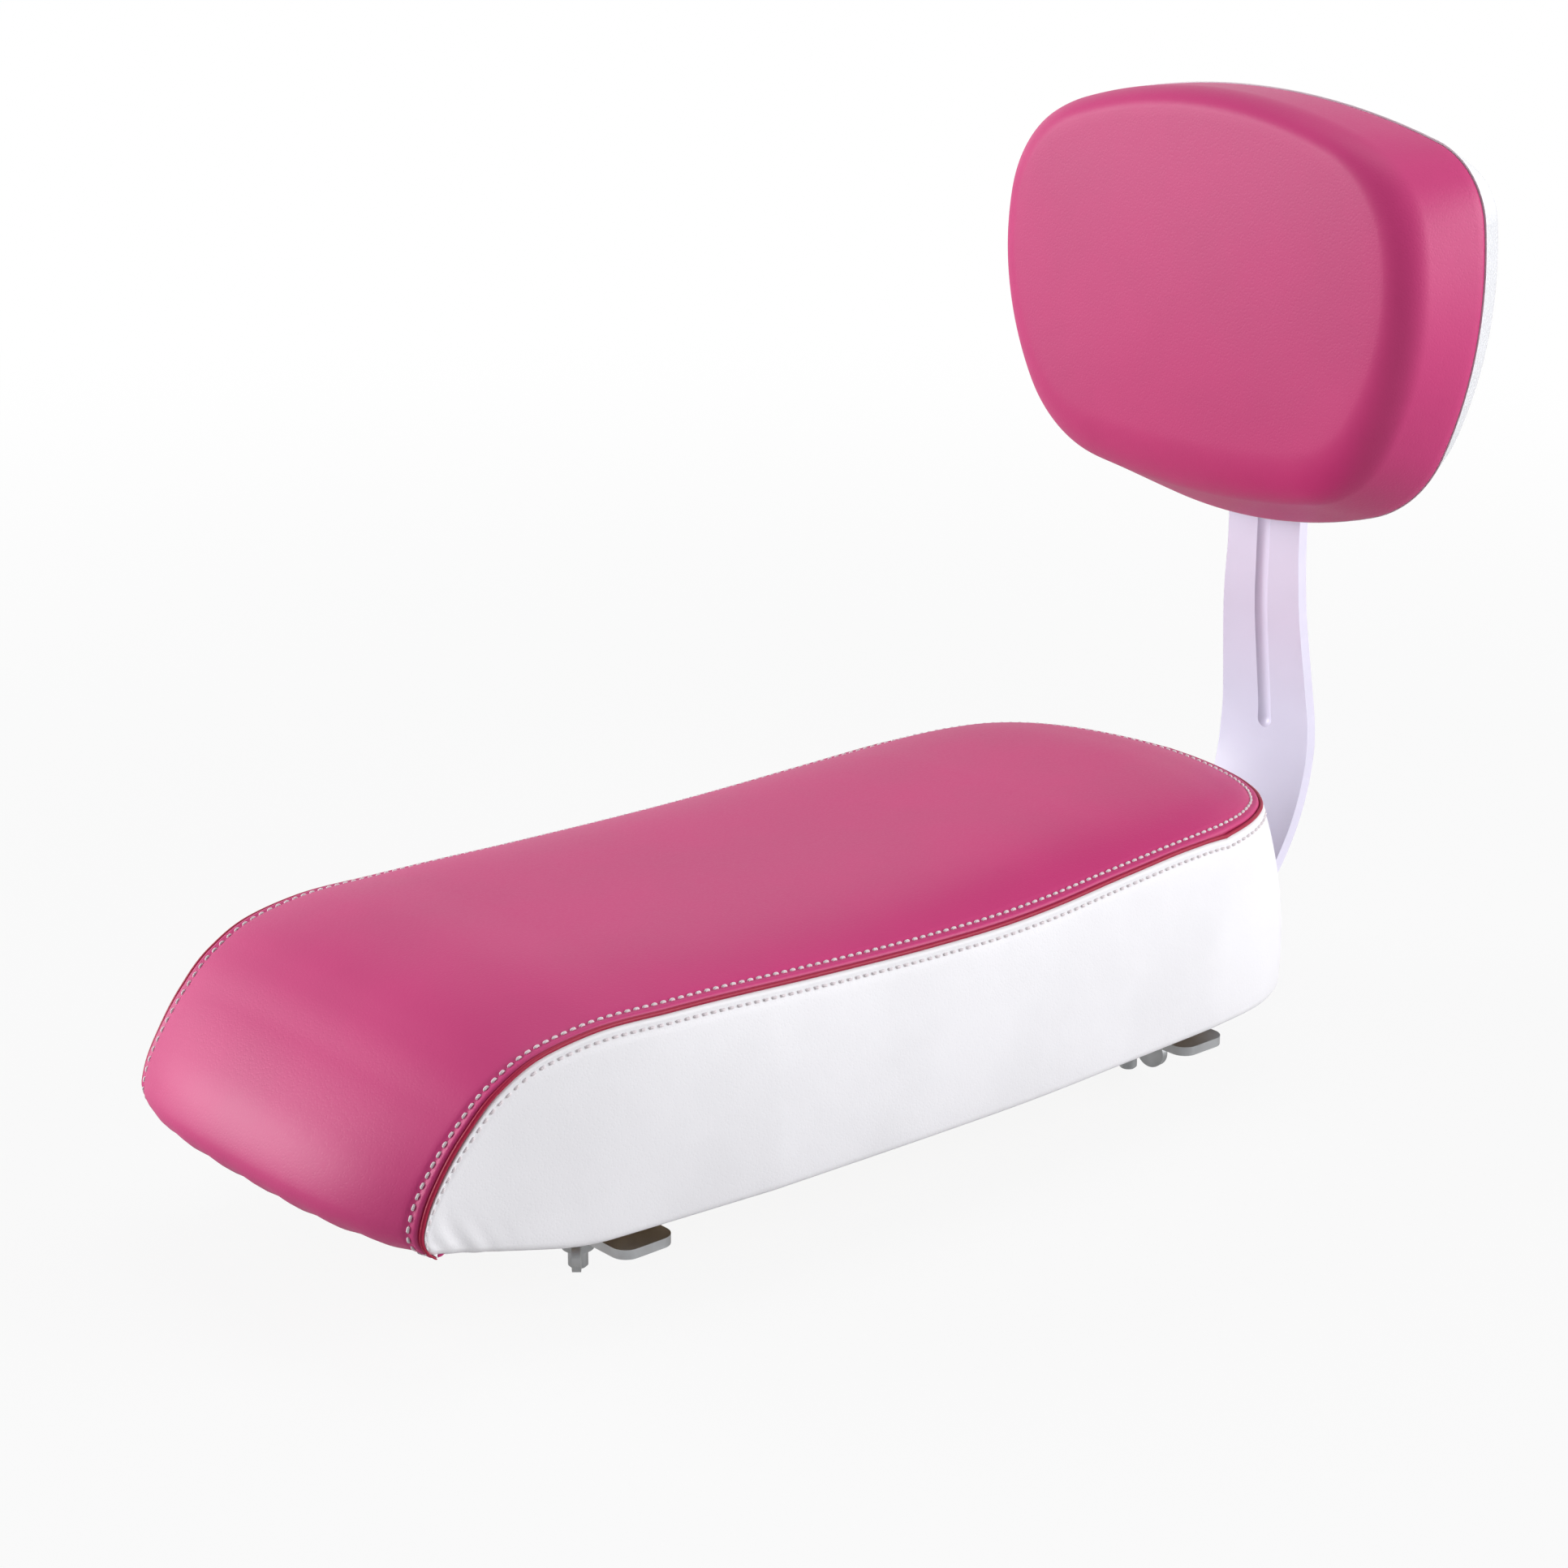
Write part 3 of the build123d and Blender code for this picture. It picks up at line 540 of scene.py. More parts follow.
    def top_normals(self, x, travel):
        step = 0.5 * MM
        across = self.top(x + step, travel) - self.top(x - step, travel)
        ahead = self.top(x, travel + step) - self.top(x, travel - step)
        return unit(np.cross(across, ahead))

    def top_grid(self, shares):
        """The top's points on lines from the seam to the middle: rows of shares, columns along the seam."""
        shares = np.asarray(shares)[:, None]
        x, travel = self.towards_middle(shares)
        distance = self.span * shares
        normals = self.top_normals(x, travel)
        points = self.pulled(self.top(x, travel), normals, self.inward()[None], distance)
        return self.rolled(points), distance

    def band_at(self, height):
        """Points of the side band at a height for each place of the seam."""
        y = self.outline[None, :, 1]
        out = self.flare(y, height)
        x = self.outline[None, :, 0] + self.outward[None, :, 0] * out
        return np.stack([x, y + self.outward[None, :, 1] * out, height], axis=-1)

    def band_grid(self, shares, low):
        """The side band's points from the seam down to a low edge."""
        shares = np.asarray(shares)[:, None]
        height = self.seam_points[None, :, 2] * (1 - shares) + low[None] * shares
        points = self.band_at(height)
        normals = np.broadcast_to(self.out[None], points.shape)
        distance = (self.seam_points[None, :, 2] - low[None]) * shares
        puckers = self.puckers(self.outline[None, :, 1], height - low[None], distance)
        points = self.pulled(points + normals * puckers[..., None], normals, self.inward()[None], distance)
        return self.rolled(points), distance

    def marks(self, grid, from_seam):
        """Each point's distance from the seam and its place along it, for the material."""
        shape = grid.shape[:2]
        values = {"from_seam": from_seam, "along_seam": self.along}
        return {name: np.broadcast_to(value, shape) for name, value in values.items()}


def far_marks(grid):
    """Marks for points away from the seam, where neither the painted shade of its fold nor that of its needle
    holes shows.
    """
    shape = grid.shape[:2]
    return {"from_seam": np.full(shape, FAR_FROM_SEAM), "along_seam": np.zeros(shape)}


# Materials


class Value:
    """A shader socket in a Python expression: every sum or product adds its own Math node."""

    def __init__(self, tree, socket):
        self.tree = tree
        self.socket = socket

    def node(self, kind, settings=None, sockets=None, output=0):
        made = self.tree.nodes.new(kind)
        for name, value in (settings or {}).items():
            setattr(made, name, value)
        for name, value in (sockets or {}).items():
            if isinstance(value, Value):
                self.tree.links.new(value.socket, made.inputs[name])
            else:
                made.inputs[name].default_value = value
        return Value(self.tree, made.outputs[output])

    def math(self, operation, first, second=0.0):
        return self.node("ShaderNodeMath", {"operation": operation}, {0: first, 1: second})

    def __add__(self, other):
        return self.math("ADD", self, other)

    def __sub__(self, other):
        return self.math("SUBTRACT", self, other)

    def __rsub__(self, other):
        return self.math("SUBTRACT", other, self)

    def __mul__(self, other):
        return self.math("MULTIPLY", self, other)

    def __truediv__(self, other):
        return self.math("DIVIDE", self, other)

    __radd__ = __add__
    __rmul__ = __mul__

    def fraction(self):
        return self.math("FRACT", self)

    def between(self, low, high):
        """0 below low and 1 above high, with a smooth step."""
        settings = {"interpolation_type": "SMOOTHSTEP"}
        return self.node("ShaderNodeMapRange", settings, {"Value": self, "From Min": low, "From Max": high})

    def near(self, middle, width):
        """1 at the middle value, and 0 from a width away."""
        return 1 - self.math("ABSOLUTE", self - middle).between(0.0, width)

    def mix(self, first, second):
        """The first colour where this is 0, the second where it is 1."""
        sockets = {0: self, 6: opaque(first), 7: opaque(second)}
        return self.node("ShaderNodeMix", {"data_type": "RGBA"}, sockets, output=2)

    def noise(self, scale, detail=2.0, roughness=0.5):
        """Clouds with about this many lumps in a metre, where this is a place."""
        sockets = {"Vector": self, "Scale": scale, "Detail": detail, "Roughness": roughness}
        return self.node("ShaderNodeTexNoise", {}, sockets)

    def cells(self, scale):
        """Distance to the nearest cell of a grain."""
        return self.node("ShaderNodeTexVoronoi", {"feature": "F1"}, {"Vector": self, "Scale": scale})

    def stretched(self, scale):
        return self.node("ShaderNodeMapping", {}, {"Vector": self, "Scale": scale})

    def bump(self, strength, distance):
        return self.node("ShaderNodeBump", {}, {"Height": self, "Strength": strength, "Distance": distance})

    def axis(self, index):
        return self.node("ShaderNodeSeparateXYZ", {}, {0: self}, output=index)

    def kept(self, name):
        """A value kept on the mesh's points."""
        return self.node("ShaderNodeAttribute", {"attribute_name": name}, output="Fac")


def opaque(colour):
    return colour if isinstance(colour, Value) else (*tuple(colour)[:3], 1.0)


def new_material(name):
    """A material with its surface shader, and the place on the piece as a value."""
    material = bpy.data.materials.new(name)
    material.use_nodes = True
    tree = material.node_tree
    tree.nodes.clear()
    shader = tree.nodes.new("ShaderNodeBsdfPrincipled")
    output = tree.nodes.new("ShaderNodeOutputMaterial")
    tree.links.new(shader.outputs[0], output.inputs["Surface"])
    place = tree.nodes.new("ShaderNodeTexCoord")
    return material, shader, Value(tree, place.outputs["Object"])


def dress(shader, **sockets):
    """Sets the surface shader's sockets, by name with _ for a space."""
    for name, value in sockets.items():
        socket = shader.inputs[name.replace("_", " ")]
        if isinstance(value, Value):
            value.tree.links.new(value.socket, socket)
        else:
            socket.default_value = value


def shaded(colour, share):
    return tuple(channel * share for channel in tuple(colour)[:3])


def leatherette(name, colour, fold, stitch, hole_shade=0.30):
    """Grained leatherette, with painted shade in the fold of its seam and in the needle holes of its stitching.
    """
    material, shader, place = new_material(name)
    cloud = place.noise(22.0, detail=3.0)
    tone = cloud.between(0.3, 0.7).mix(shaded(colour, 0.94), colour)
    from_seam = place.kept("from_seam")
    along = place.kept("along_seam")
    hole = (along / stitch.pitch).fraction().near(0.5, 0.17) * from_seam.near(stitch.from_seam, 0.6 * MM)
    # Painted shade: the fold colour over the cover's first 1.5 mm from the seam, where its edge rolls in.
    fold_shade_mask = 1 - from_seam.between(0.15 * MM, 1.5 * MM)
    tone = fold_shade_mask.mix(tone, fold)
    # Painted shade in the needle holes of the stitching.
    tone = (hole * 0.75).mix(tone, shaded(colour, hole_shade))
    pores = place.cells(1150.0)
    creases = place.noise(420.0, detail=4.0, roughness=0.6)
    grain = pores.between(0.0, 0.55) * 0.6 + creases * 0.5 - hole * 1.2
    dress(
        shader,
        Base_Color=tone,
        Roughness=0.40 + cloud * 0.08 + pores * 0.06,
        Normal=grain.bump(strength=0.16, distance=0.25 * MM),
        Specular_IOR_Level=0.36,
    )
    return material


def sewing_thread(colour):
    """Twisted polyester thread, with painted shade in the grooves between its plies."""
    material, shader, place = new_material("sewing_thread")
    twist = (place.kept("along_thread") * 3.0 + place.kept("round_thread")).fraction()
    strand = twist.near(0.5, 0.5)
    fuzz = place.noise(2600.0)
    # Painted shade: darker in the grooves between the twisted plies.
    tone = strand.mix(shaded(colour, 0.72), colour)
    dress(
        shader,
        Base_Color=tone,
        Roughness=0.62 + fuzz * 0.2,
        Normal=(strand + fuzz * 0.3).bump(strength=0.5, distance=0.15 * MM),
        Sheen_Weight=0.2,
    )
    return material


def bar_paint(colour):
    """Stoved enamel on bent steel, with a faint orange peel."""
    material, shader, place = new_material("bar_paint")
    peel = place.noise(380.0)
    cloud = place.noise(30.0)
    dress(
        shader,
        Base_Color=cloud.between(0.3, 0.7).mix(shaded(colour, 0.96), colour),
        Roughness=0.30 + peel * 0.10,
        Normal=peel.bump(strength=0.05, distance=0.4 * MM),
        Coat_Weight=0.25,
        Coat_Roughness=0.2,
    )
    return material


def shell_plastic(colour):
    """Glossy moulded plastic with faint flow marks."""
    material, shader, place = new_material("shell_plastic")
    flow = place.stretched((8.0, 8.0, 40.0)).noise(1.0, detail=3.0)
    skin = place.noise(900.0)
    dress(
        shader,
        Base_Color=flow.between(0.25, 0.75).mix(shaded(colour, 0.97), colour),
        Roughness=0.20 + skin * 0.08 + flow * 0.05,
        Normal=skin.bump(strength=0.03, distance=0.15 * MM),
    )
    return material


def zinc_steel(colour):
    """Zinc-plated steel with fine scratches and dull patches."""
    material, shader, place = new_material("zinc_steel")
    brushed = place.stretched((60.0, 900.0, 900.0)).noise(1.0, detail=3.0)
    dull = place.noise(90.0, detail=3.0)
    dress(
        shader,
        Base_Color=dull.between(0.3, 0.75).mix(shaded(colour, 0.78), colour),
        Metallic=1.0,
        Roughness=0.26 + brushed * 0.16 + dull * 0.10,
        Normal=brushed.bump(strength=0.06, distance=0.2 * MM),
    )
    return material


def plywood(name, colour, thin_axis, thin_low):
    """Birch plywood: long grain on its faces and thin plies along its thickness."""
    material, shader, place = new_material(name)
    ply = 1.6 * MM
    plies = ((place.axis(thin_axis) - thin_low) / ply).fraction().between(0.42, 0.58)
    long_grain = place.stretched((260.0, 16.0, 260.0)).noise(1.0, detail=5.0, roughness=0.62)
    tone = long_grain.between(0.3, 0.72).mix(shaded(colour, 0.74), colour)
    tone = (plies * 0.30).mix(tone, shaded(colour, 0.55))
    dress(
        shader,
        Base_Color=tone,
        Roughness=0.62 + long_grain * 0.2,
        Normal=long_grain.bump(strength=0.18, distance=0.3 * MM),
    )
    return material


# Covers


def seam_shares(count, power):
    """Shares from the seam inwards, close together at the seam."""
    return (np.arange(count + 1) / count) ** power


def tucked(form, edge):
    """The seam's allowance, turned into the cushion."""
    return edge[None] + form.inward()[None] * TUCK_DEPTHS[:, None, None]


class SEAT_OT_top_cover(Operator):
    """Sews the pink cover over the cushion's top and nose"""

    bl_idname = "bike_seat.top_cover"
    bl_label = "Top Cover"

    def execute(self, context):
        settings = context.scene.bike_seat
        form = CushionForm(settings.cushion).seam(COVER_STEP)
        top, distance = form.top_grid(seam_shares(count=44, power=1.7))
        tuck = tucked(form, top[0])
        fold = self.fold(form)
        hem = self.nose_hem(form, top)
        grids = [(top, False, form.marks(top, distance))]
        # The tuck and the cord get a seam distance of 0, so they take the painted fold shade in full.
        for grid in (tuck, fold):
            grids.append((grid, False, form.marks(grid, 0.0)))
        grids.append((hem, False, far_marks(hem)))
        finish = settings.finish
        material = leatherette("pink_leatherette", finish.pink, finish.painted_fold_shade, settings.stitch)
        piece = new_piece("cushion_top_cover", material, *join_grids(grids))
        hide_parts("seat_top_cover", "seat_foam")
        return {"FINISHED"}

    def fold(self, form):
        """The cover's edge, folded into a narrow cord along the seam."""
        heading = unit(np.gradient(form.seam_points, axis=0))
        into = form.inward()
        side = np.cross(heading, into)
        centre = form.seam_points + into * CORD_DEPTH
        turns = np.linspace(0, 2 * math.pi, CORD_SIDES + 1)
        cord = [centre + (side * math.cos(t) + into * math.sin(t)) * CORD_RADIUS for t in turns]
        return form.rolled(np.stack(cord))

    def nose_hem(self, form, top):
        """The nose's lower edge, rolled under and laid along the sloping base."""
        edge = np.vstack([top[:, 0], top[-2::-1, -1]])
        inner = np.maximum(edge[:, 1], -form.half_length) + NOSE_HEM
        rows = [edge]
        for share in NOSE_HEM_ROWS:
            row = edge.copy()
            row[:, 1] += (inner - edge[:, 1]) * share
            settle = ease(0.0, 0.6, share)
            hanging = edge[:, 2] - NOSE_SAG * ease(0.0, 0.14, share)
            row[:, 2] = hanging * (1 - settle) + (form.board_level(row[:, 1]) - BOARD_GAP) * settle
            rows.append(row)
        return np.stack(rows)


class SEAT_OT_side_band(Operator):
    """Sews the white band round the cushion's sides and rear, and turns its hem in under the base"""

    bl_idname = "bike_seat.side_band"
    bl_label = "Side Band"

    def execute(self, context):
        settings = context.scene.bike_seat
        form = CushionForm(settings.cushion).seam(COVER_STEP)
        floor = form.underside(form.outline[:, 1])
        low = np.minimum(floor + BAND_ROLL, form.seam_points[:, 2] - 0.2 * MM)
        band, distance = form.band_grid(seam_shares(count=26, power=1.5), low)
        tuck = tucked(form, band[0])
        hem = self.hem(form, band[-1], floor)
        grids = []
        # The tuck gets a seam distance of 0, so it takes the painted fold shade in full.
        for grid, gap in ((band, distance), (tuck, 0.0), (hem, FAR_FROM_SEAM)):
            grids.append((grid, False, form.marks(grid, gap)))
        colour = settings.finish.white
        # Painted shade: the white darkened in the fold along the seam.
        fold = shaded(colour, 0.86)
        material = leatherette("white_leatherette", colour, fold, settings.stitch, hole_shade=0.62)
        piece = new_piece("cushion_side_band", material, *join_grids(grids))
        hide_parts("seat_side_band")
        return {"FINISHED"}

    def hem(self, form, edge, floor):
        """The band's lower edge, rolled under and laid flat along the base."""
        out = form.out
        up = np.array([0.0, 0.0, 1.0])
        centre = edge - out * BAND_ROLL
        centre[:, 2] = np.maximum(floor + BAND_ROLL, edge[:, 2])
        rows = [edge]
        for angle in BAND_TURNS:
            turn = math.radians(angle)
            rows.append(centre + out * BAND_ROLL * math.cos(turn) - up * BAND_ROLL * math.sin(turn))
        for run in (*BAND_ROWS, form.sizes.hem / MM - BAND_ROLL / MM):
            row = centre - out * run * MM
            low, high = form.underside(row[:, 1]), form.board_level(row[:, 1])
            row[:, 2] = low + (high - low) * ease(0.0, BAND_ROWS[-1], run) + 0.02 * MM
            rows.append(row)
        rows.append(rows[-1] + up * BAND_EDGE)
        return np.stack(rows)


class SEAT_OT_stitching(Operator):
    """Runs a row of white stitches along each side of the seam"""

    bl_idname = "bike_seat.stitching"
    bl_label = "Stitching"

    def execute(self, context):
        settings = context.scene.bike_seat
        stitch = settings.stitch
        form = CushionForm(settings.cushion).seam(STITCH_STEP)
        top = self.row_on_top(form, stitch.from_seam)
        band = self.row_on_band(form, stitch.from_seam)
        material = sewing_thread(settings.finish.thread)
        for name, (line, lift), cover in (("top_stitches", top, "pink"), ("band_stitches", band, "white")):
            piece = new_piece(name, material, *self.stitches(stitch, line, lift), merge=0)
            cover + "_leatherette"
        return {"FINISHED"}

    def row_on_top(self, form, gap):
        x, travel = form.towards_middle(gap / form.span)
        normals = form.top_normals(x, travel)
        return form.rolled(form.top(x, travel) - normals * form.sizes.channel), normals

    def row_on_band(self, form, gap):
        height = form.seam_points[:, 2] - gap
        points = form.rolled(form.band_at(height[None])[0] - form.out * form.sizes.channel)
        keep = height > form.underside(form.outline[:, 1]) + BAND_ROLL
        return points[keep], form.out[keep]

    def stitches(self, stitch, line, lift):
        """Short bowed capsules, end to end along a line, with their ends in the needle holes."""
        travel = travelled(line)
        count = int(travel[-1] / stitch.pitch)
        sides, rings = STITCH_SIDES, STITCH_RINGS
        turn = np.linspace(0, 2 * math.pi, sides, endpoint=False)
        share = np.linspace(-1, 1, rings)
        thick = np.sqrt(np.clip(1 - share**6, 0.05, 1.0)) * stitch.radius
        bow = (1 - share**2) * STITCH_BOW - STITCH_SINK

        def found(values, at):
            return np.array([np.interp(at, travel, values[:, k]) for k in range(3)])

        points, faces, along_thread, round_thread = [], [], [], []
        start = 0
        for i in range(count):
            at = (i + 0.5) * stitch.pitch
            place = found(line, at)
            up = unit(found(lift, at))
            along = unit(found(line, at + MM) - place)
            side = np.cross(up, along)
            for k in range(rings):
                centre = place + along * share[k] * stitch.length / 2 + up * (bow[k] + stitch.radius * 0.4)
                ring = centre + (np.outer(np.cos(turn), side) + np.outer(np.sin(turn), up)) * thick[k]
                points.append(ring)
                along_thread.append(np.full(sides, share[k]))
                round_thread.append(turn / (2 * math.pi))
            for face in grid_faces(rings, sides, closed=True):
                faces.append(tuple(start + n for n in face))
            faces.append(tuple(start + n for n in range(sides)))
            faces.append(tuple(start + (rings - 1) * sides + n for n in reversed(range(sides))))
            start += rings * sides
        values = {"along_thread": np.concatenate(along_thread), "round_thread": np.concatenate(round_thread)}
        return np.vstack(points), faces, values


def circle_through(a, b, c):
    """Centre and radius of the circle through three points."""
    (ax, ay), (bx, by), (cx, cy) = a, b, c
    d = 2 * (ax * (by - cy) + bx * (cy - ay) + cx * (ay - by))
    a2, b2, c2 = ax**2 + ay**2, bx**2 + by**2, cx**2 + cy**2
    x = (a2 * (by - cy) + b2 * (cy - ay) + c2 * (ay - by)) / d
    y = (a2 * (cx - bx) + b2 * (ax - cx) + c2 * (bx - ax)) / d
    return np.array([x, y]), math.hypot(ax - x, ay - y)


def circles_meet(first, first_radius, second, second_radius, near):
    """Where two circles cross, on the side of a point."""
    between = second - first
    gap = np.linalg.norm(between)
    run = (first_radius**2 - second_radius**2 + gap**2) / (2 * gap)
    rise = math.sqrt(max(first_radius**2 - run**2, 0.0))
    middle = first + between / gap * run
    aside = np.array([-between[1], between[0]]) / gap * rise
    return min((middle + aside, middle - aside), key=lambda p: np.linalg.norm(p - near))


def way_out(ray, centre, radius):
    """How far a ray from the middle goes before it leaves a circle."""
    along = ray @ centre
    return along + np.sqrt(np.maximum(along**2 - centre @ centre + radius**2, 0.0))


def bowed_outline(shape, turn):
    """An outline of the backrest at each turn round its middle: four bowed sides with rounded corners."""
    shoulder = (shape.shoulder, shape.shoulder_level)
    hip = (shape.hip, -shape.hip_level)
    far_shoulder, far_hip = (-shoulder[0], shoulder[1]), (-hip[0], hip[1])
    discs = [
        circle_through(far_shoulder, (0, shape.top), shoulder),
        circle_through(shoulder, (shape.side, 0), hip),
        circle_through(hip, (0, -shape.bottom), far_hip),
        circle_through(far_hip, (-shape.side, 0), far_shoulder),
    ]
    corners = [
        (shoulder, shape.top_corner),
        (hip, shape.bottom_corner),
        (far_hip, shape.bottom_corner),
        (far_shoulder, shape.top_corner),
    ]
    ray = np.column_stack([np.cos(turn), np.sin(turn)])
    reach = np.min([way_out(ray, *disc) for disc in discs], axis=0)
    for i, (near, corner) in enumerate(corners):
        (a, a_radius), (b, b_radius) = discs[i], discs[(i + 1) % 4]
        centre = circles_meet(a, a_radius - corner, b, b_radius - corner, np.array(near))
        ends = []
        for disc, radius in ((a, a_radius), (b, b_radius)):
            touch = disc + unit(centre - disc) * radius
            ends.append(math.atan2(touch[1], touch[0]) % (2 * math.pi))
        inside = (turn >= min(ends)) & (turn <= max(ends))
        reach = np.where(inside, way_out(ray, centre, corner), reach)
    return ray * reach[:, None]


class SEAT_OT_backrest_pad(Operator):
    """Covers the backrest's foam with pink leatherette, drawn in behind its rim"""

    bl_idname = "bike_seat.backrest_pad"
    bl_label = "Backrest Pad"

    def execute(self, context):
        settings = context.scene.bike_seat
        sizes = settings.backrest
        turn = np.linspace(0, 2 * math.pi, PAD_COLUMNS, endpoint=False)
        rim, front = bowed_outline(sizes.rim, turn), bowed_outline(sizes.front, turn)
        heading = np.roll(front, -1, axis=0) - np.roll(front, 1, axis=0)
        outward = unit(np.column_stack([heading[:, 1], -heading[:, 0]]))
        up, down = np.maximum(outward[:, 1:], 0.0), np.maximum(-outward[:, 1:], 0.0)
        tight = 1 - 0.25 * up + 0.6 * down
        middle = np.array([0.0, (sizes.front.top - sizes.front.bottom) / 2])
        rows = []
        for depth, inset, shrink in self.section(sizes):
            share = min(max(depth / sizes.depth, 0.0), 1.0)
            ring = rim * (1 - share) + front * share - outward * tight * inset
            ring = middle + (ring - middle) * (1 - shrink)
            rows.append(self.place(ring, depth + self.dome(sizes, inset, shrink)))
        points = np.stack(rows)
        finish = settings.finish
        material = leatherette("pad_leatherette", finish.pink, finish.painted_fold_shade, settings.stitch)
        piece = new_piece("backrest_pad", material, *join_grids([(points, True, far_marks(points))]))
        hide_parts("backrest_cover", "backrest_foam")
        return {"FINISHED"}

    def section(self, sizes):
        """The pad's section from its rim to the middle of its front: depth, inset, and shrink to the middle."""
        for depth, inset in PAD_LIP:
            yield depth * MM, inset * MM, 0.0
        for share in np.linspace(0.06, 0.96, 9):
            yield (sizes.depth - sizes.edge) * share, -PAD_BULGE * math.cos(math.pi / 2 * share), 0.0
        for turn in np.linspace(0, math.pi / 2, 20):
            yield sizes.depth - sizes.edge * (1 - math.sin(turn)), sizes.edge * (1 - math.cos(turn)), 0.0
        for share in np.linspace(0, 1, 22)[1:]:
            yield sizes.depth, sizes.edge, share

    def dome(self, sizes, inset, shrink):
        share = 0.2 * max(inset, 0.0) / sizes.edge + 0.8 * shrink
        return sizes.dome * (1 - (1 - share) ** 2)

    def place(self, ring, depth):
        middle = (PAD_LOW.z + PAD_HIGH.z) / 2
        return np.column_stack([ring[:, 0], np.full(len(ring), SHELL_LOW.y - depth), middle + ring[:, 1]])


class SEAT_OT_rigid_finishes(Operator):
    """Gives the bar, the shell, the boards and the fasteners their own finishes"""

    bl_idname = "bike_seat.rigid_finishes"
    bl_label = "Rigid Finishes"

    def execute(self, context):
        finish = context.scene.bike_seat.finish
        steel = zinc_steel(finish.steel)
        base_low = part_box("seat_base")[0]
        board_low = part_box("backrest_board")[0]
        materials = {
            "backrest_bar": bar_paint(finish.bar),
            "backrest_shell": shell_plastic(finish.shell),
            "seat_base": plywood("base_plywood", finish.board, 2, base_low.z),
            "backrest_board": plywood("backrest_plywood", finish.board, 1, board_low.y),
        }
        for node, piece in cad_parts.items():
            if piece.hide_render:
                continue
            piece.data.materials.clear()
            piece.data.materials.append(materials.get(node, steel))
        return {"FINISHED"}


class SEAT_OT_stage(Operator):
    """Sets the floor, the lamps and the camera"""

    bl_idname = "bike_seat.stage"
    bl_label = "Stage"

    def execute(self, context):
        studio = context.scene.bike_seat.studio
        self.floor()
        self.world(context.scene, studio)
        for name, (place, size) in LAMPS.items():
            self.lamp(name, place, size, getattr(studio, name))
        self.camera(context.scene, studio)
        context.scene.view_settings.view_transform = "Standard"
        return {"FINISHED"}

    def backdrop_rays(self, tree, mirrored):
        """1 for the rays that should meet a white backdrop, and a share of it for mirrored rays."""
        path = tree.nodes.new("ShaderNodeLightPath")
        camera = Value(tree, path.outputs["Is Camera Ray"])
        glossy = Value(tree, path.outputs["Is Glossy Ray"]) * mirrored
        clear = Value(tree, path.outputs["Is Transmission Ray"])
        return camera.math("MAXIMUM", camera.math("MAXIMUM", camera, glossy), clear)

    def blend(self, tree, share, first, second, output):
        """Shows the first shader where the share is 0, and the second where it is 1."""
        mixer = tree.nodes.new("ShaderNodeMixShader")
        tree.links.new(share.socket, mixer.inputs[0])
        tree.links.new(first.outputs[0], mixer.inputs[1])
        tree.links.new(second.outputs[0], mixer.inputs[2])
        tree.links.new(mixer.outputs[0], output.inputs["Surface"])

    def floor(self):
        low = CAD_BOX[0].z
        corners = ((-1, -1), (1, -1), (1, 1), (-1, 1))
        points = [(x * FLOOR_HALF, y * FLOOR_HALF, low) for x, y in corners]
        mesh = bpy.data.meshes.new("floor")
        mesh.from_pydata(points, [], [(0, 1, 2, 3)])
        floor = bpy.data.objects.new("floor", mesh)
        bpy.context.scene.collection.objects.link(floor)
        material, shader, place = new_material("floor_paper")
        tree = material.node_tree
        tone = place.noise(3.0).mix((0.58, 0.58, 0.58), (0.61, 0.61, 0.61))
        dress(shader, Base_Color=tone, Roughness=0.9, Specular_IOR_Level=0.1)
        glow = tree.nodes.new("ShaderNodeEmission")
        away = place.node("ShaderNodeVectorMath", {"operation": "LENGTH"}, {0: place}, output="Value")
        white = FLOOR_GLOW + away.between(*FLOOR_FADE) * (1 - FLOOR_GLOW)
        output = next(node for node in tree.nodes if node.type == "OUTPUT_MATERIAL")
        self.blend(tree, self.backdrop_rays(tree, FLOOR_MIRRORED) * white, shader, glow, output)
        mesh.materials.append(material)

    def camera_side(self, studio):
        """The direction from the seat to the camera."""
        turn, lift = studio.azimuth, studio.elevation
        return Vector((math.sin(turn) * math.cos(lift), -math.cos(turn) * math.cos(lift), math.sin(lift)))

    def world(self, scene, studio):
        """White all round for the camera. The side behind the camera is dark in reflections, as in a studio."""
        world = bpy.data.worlds.new("studio")
        scene.world = world
        world.use_nodes = True
        tree = world.node_tree
        tree.nodes.clear()
        output = tree.nodes.new("ShaderNodeOutputWorld")
        soft = tree.nodes.new("ShaderNodeBackground")
        soft.inputs["Color"].default_value = (0.97, 0.98, 1.0, 1.0)
        soft.inputs["Strength"].default_value = studio.ambient
        white = tree.nodes.new("ShaderNodeBackground")
        white.inputs["Color"].default_value = (1.0, 1.0, 1.0, 1.0)
        way = Value(tree, tree.nodes.new("ShaderNodeTexCoord").outputs["Generated"])
        sockets = {0: way, 1: self.camera_side(studio)}
        behind = way.node("ShaderNodeVectorMath", {"operation": "DOT_PRODUCT"}, sockets, output="Value")
        mirrored = 1 - behind.between(*DARK_SIDE) * DARK_SHARE
        self.blend(tree, self.backdrop_rays(tree, mirrored), soft, white, output)

    def lamp(self, name, place, size, power):
        data = bpy.data.lights.new(name, "AREA")
        data.shape = "DISK"
        data.size = size
        data.energy = power
        lamp = bpy.data.objects.new(name, data)
        lamp.location = place
        aim = Vector(LAMP_AIM) - Vector(place)
        lamp.rotation_euler = aim.to_track_quat("-Z", "Y").to_euler()
        bpy.context.scene.collection.objects.link(lamp)

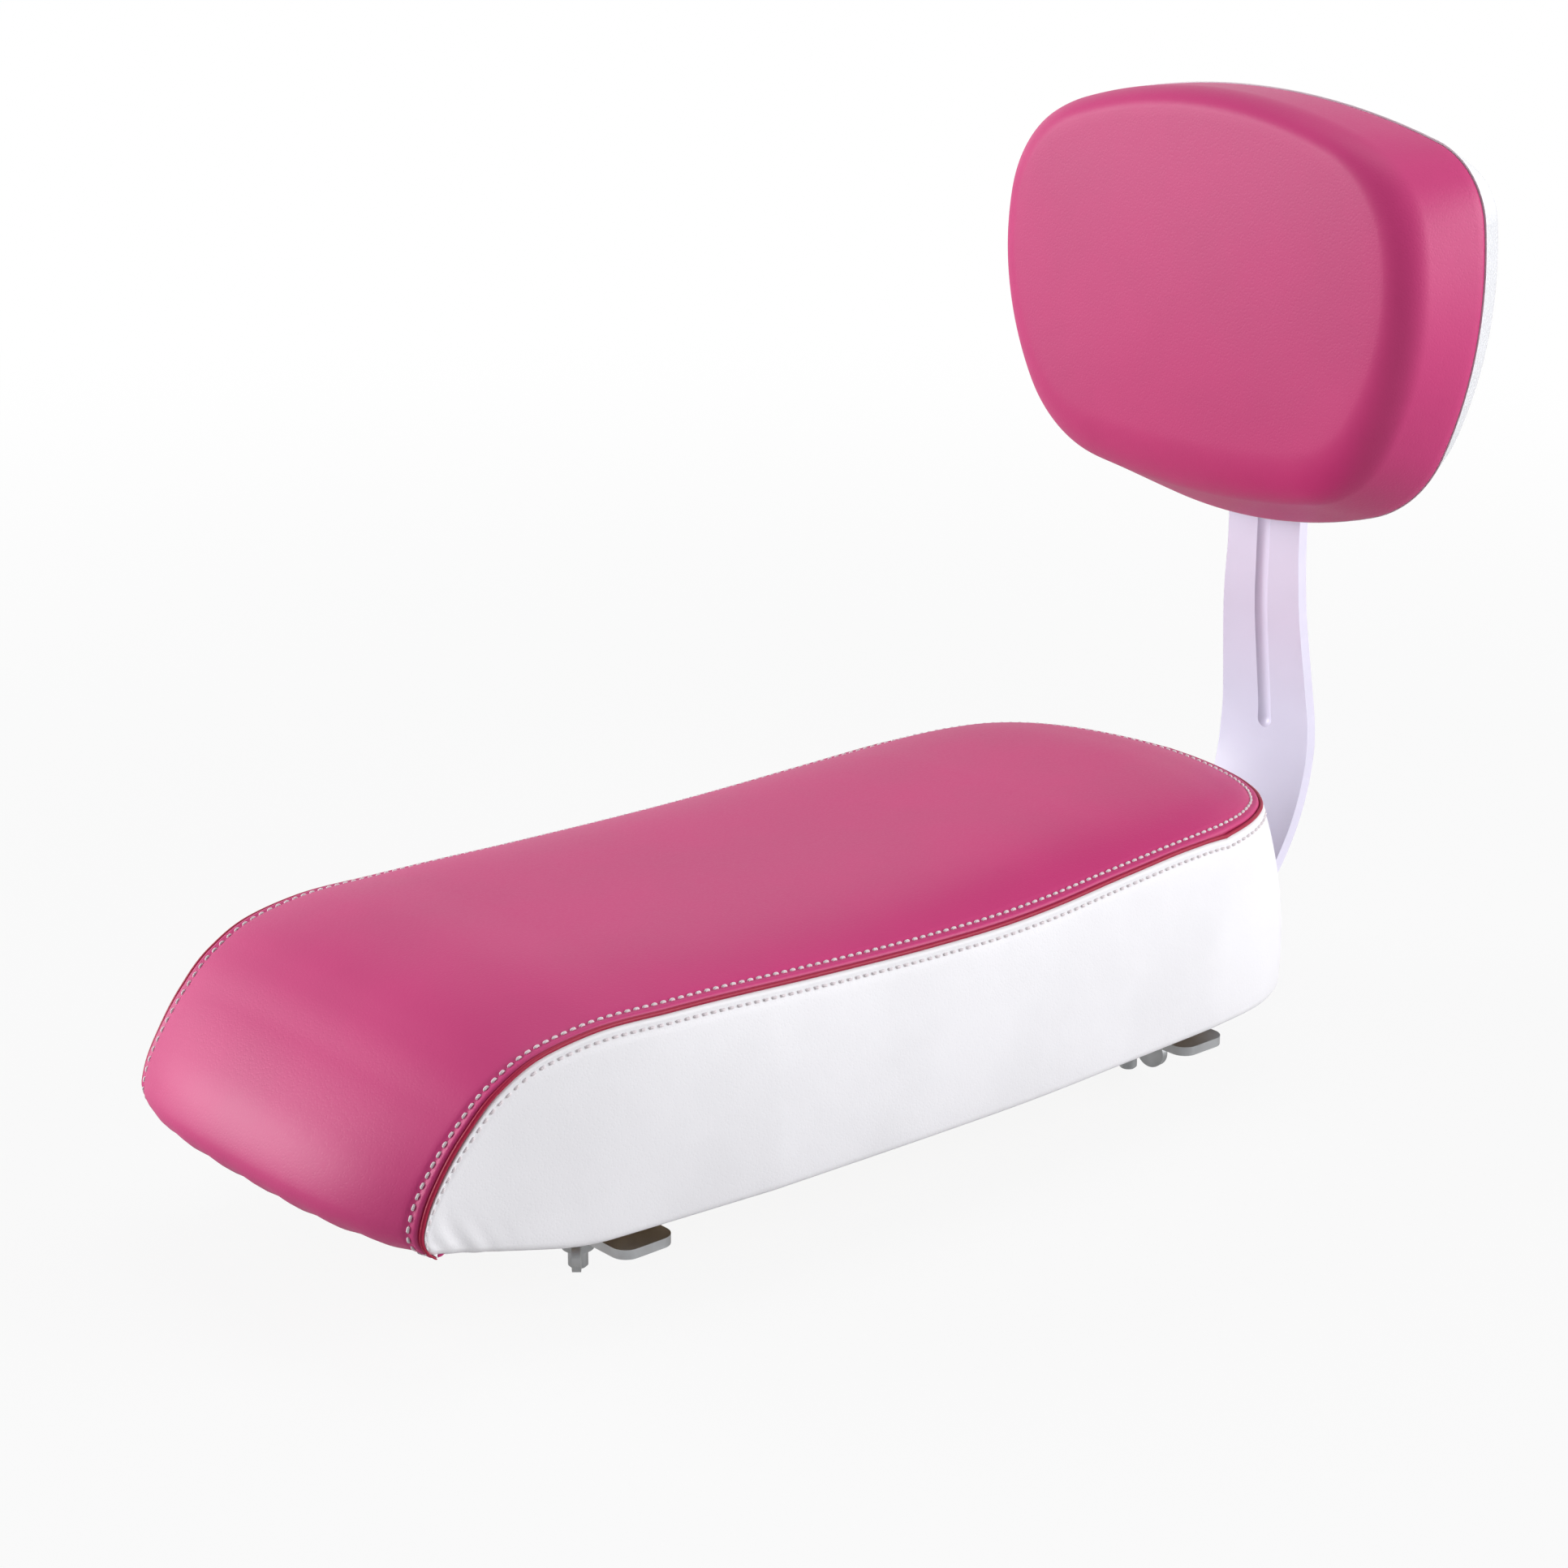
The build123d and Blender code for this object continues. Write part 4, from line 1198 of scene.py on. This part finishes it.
    def camera(self, scene, studio):
        turn, roll = studio.azimuth, studio.roll
        back = self.camera_side(studio)
        level = Vector((math.cos(turn), math.sin(turn), 0.0))
        right = level * math.cos(roll) + back.cross(level) * math.sin(roll)
        up = back.cross(right)
        data = bpy.data.cameras.new("camera")
        data.lens = studio.lens
        data.sensor_width = 36.0
        camera = bpy.data.objects.new("camera", data)
        turned = Matrix((right, up, back)).transposed().to_4x4()
        camera.matrix_world = Matrix.Translation(studio.camera) @ turned
        scene.collection.objects.link(camera)
        scene.camera = camera


class SEAT_PT_panel(Panel):
    """Lists the seat's pieces in the order they are made"""

    bl_idname = "SEAT_PT_panel"
    bl_label = "Bike Seat"
    bl_space_type = "VIEW_3D"
    bl_region_type = "UI"
    bl_category = "Bike Seat"

    def draw(self, context):
        settings = context.scene.bike_seat
        for step in STEPS:
            self.layout.operator(step.bl_idname)
        pad = settings.backrest
        groups = (settings.cushion, settings.stitch, pad, pad.rim, pad.front, settings.finish, settings.studio)
        for group in groups:
            box = self.layout.box()
            for name in group.__annotations__:
                if name not in ("rim", "front"):
                    box.prop(group, name)


STEPS = (
    SEAT_OT_top_cover,
    SEAT_OT_side_band,
    SEAT_OT_stitching,
    SEAT_OT_backrest_pad,
    SEAT_OT_rigid_finishes,
    SEAT_OT_stage,
)
CLASSES = (
    CushionSizes,
    StitchSizes,
    RimOutline,
    FrontOutline,
    BackrestSizes,
    Finishes,
    StudioSettings,
    SeatSettings,
    *STEPS,
    SEAT_PT_panel,
)


def register():
    for item in CLASSES:
        bpy.utils.register_class(item)
    bpy.types.Scene.bike_seat = PointerProperty(type=SeatSettings)


def unregister():
    del bpy.types.Scene.bike_seat
    for item in reversed(CLASSES):
        bpy.utils.unregister_class(item)


def main():
    register()
    bpy.ops.bike_seat.top_cover()
    bpy.ops.bike_seat.side_band()
    bpy.ops.bike_seat.stitching()
    bpy.ops.bike_seat.backrest_pad()
    bpy.ops.bike_seat.rigid_finishes()
    bpy.ops.bike_seat.stage()


if __name__ == "__main__":
    main()
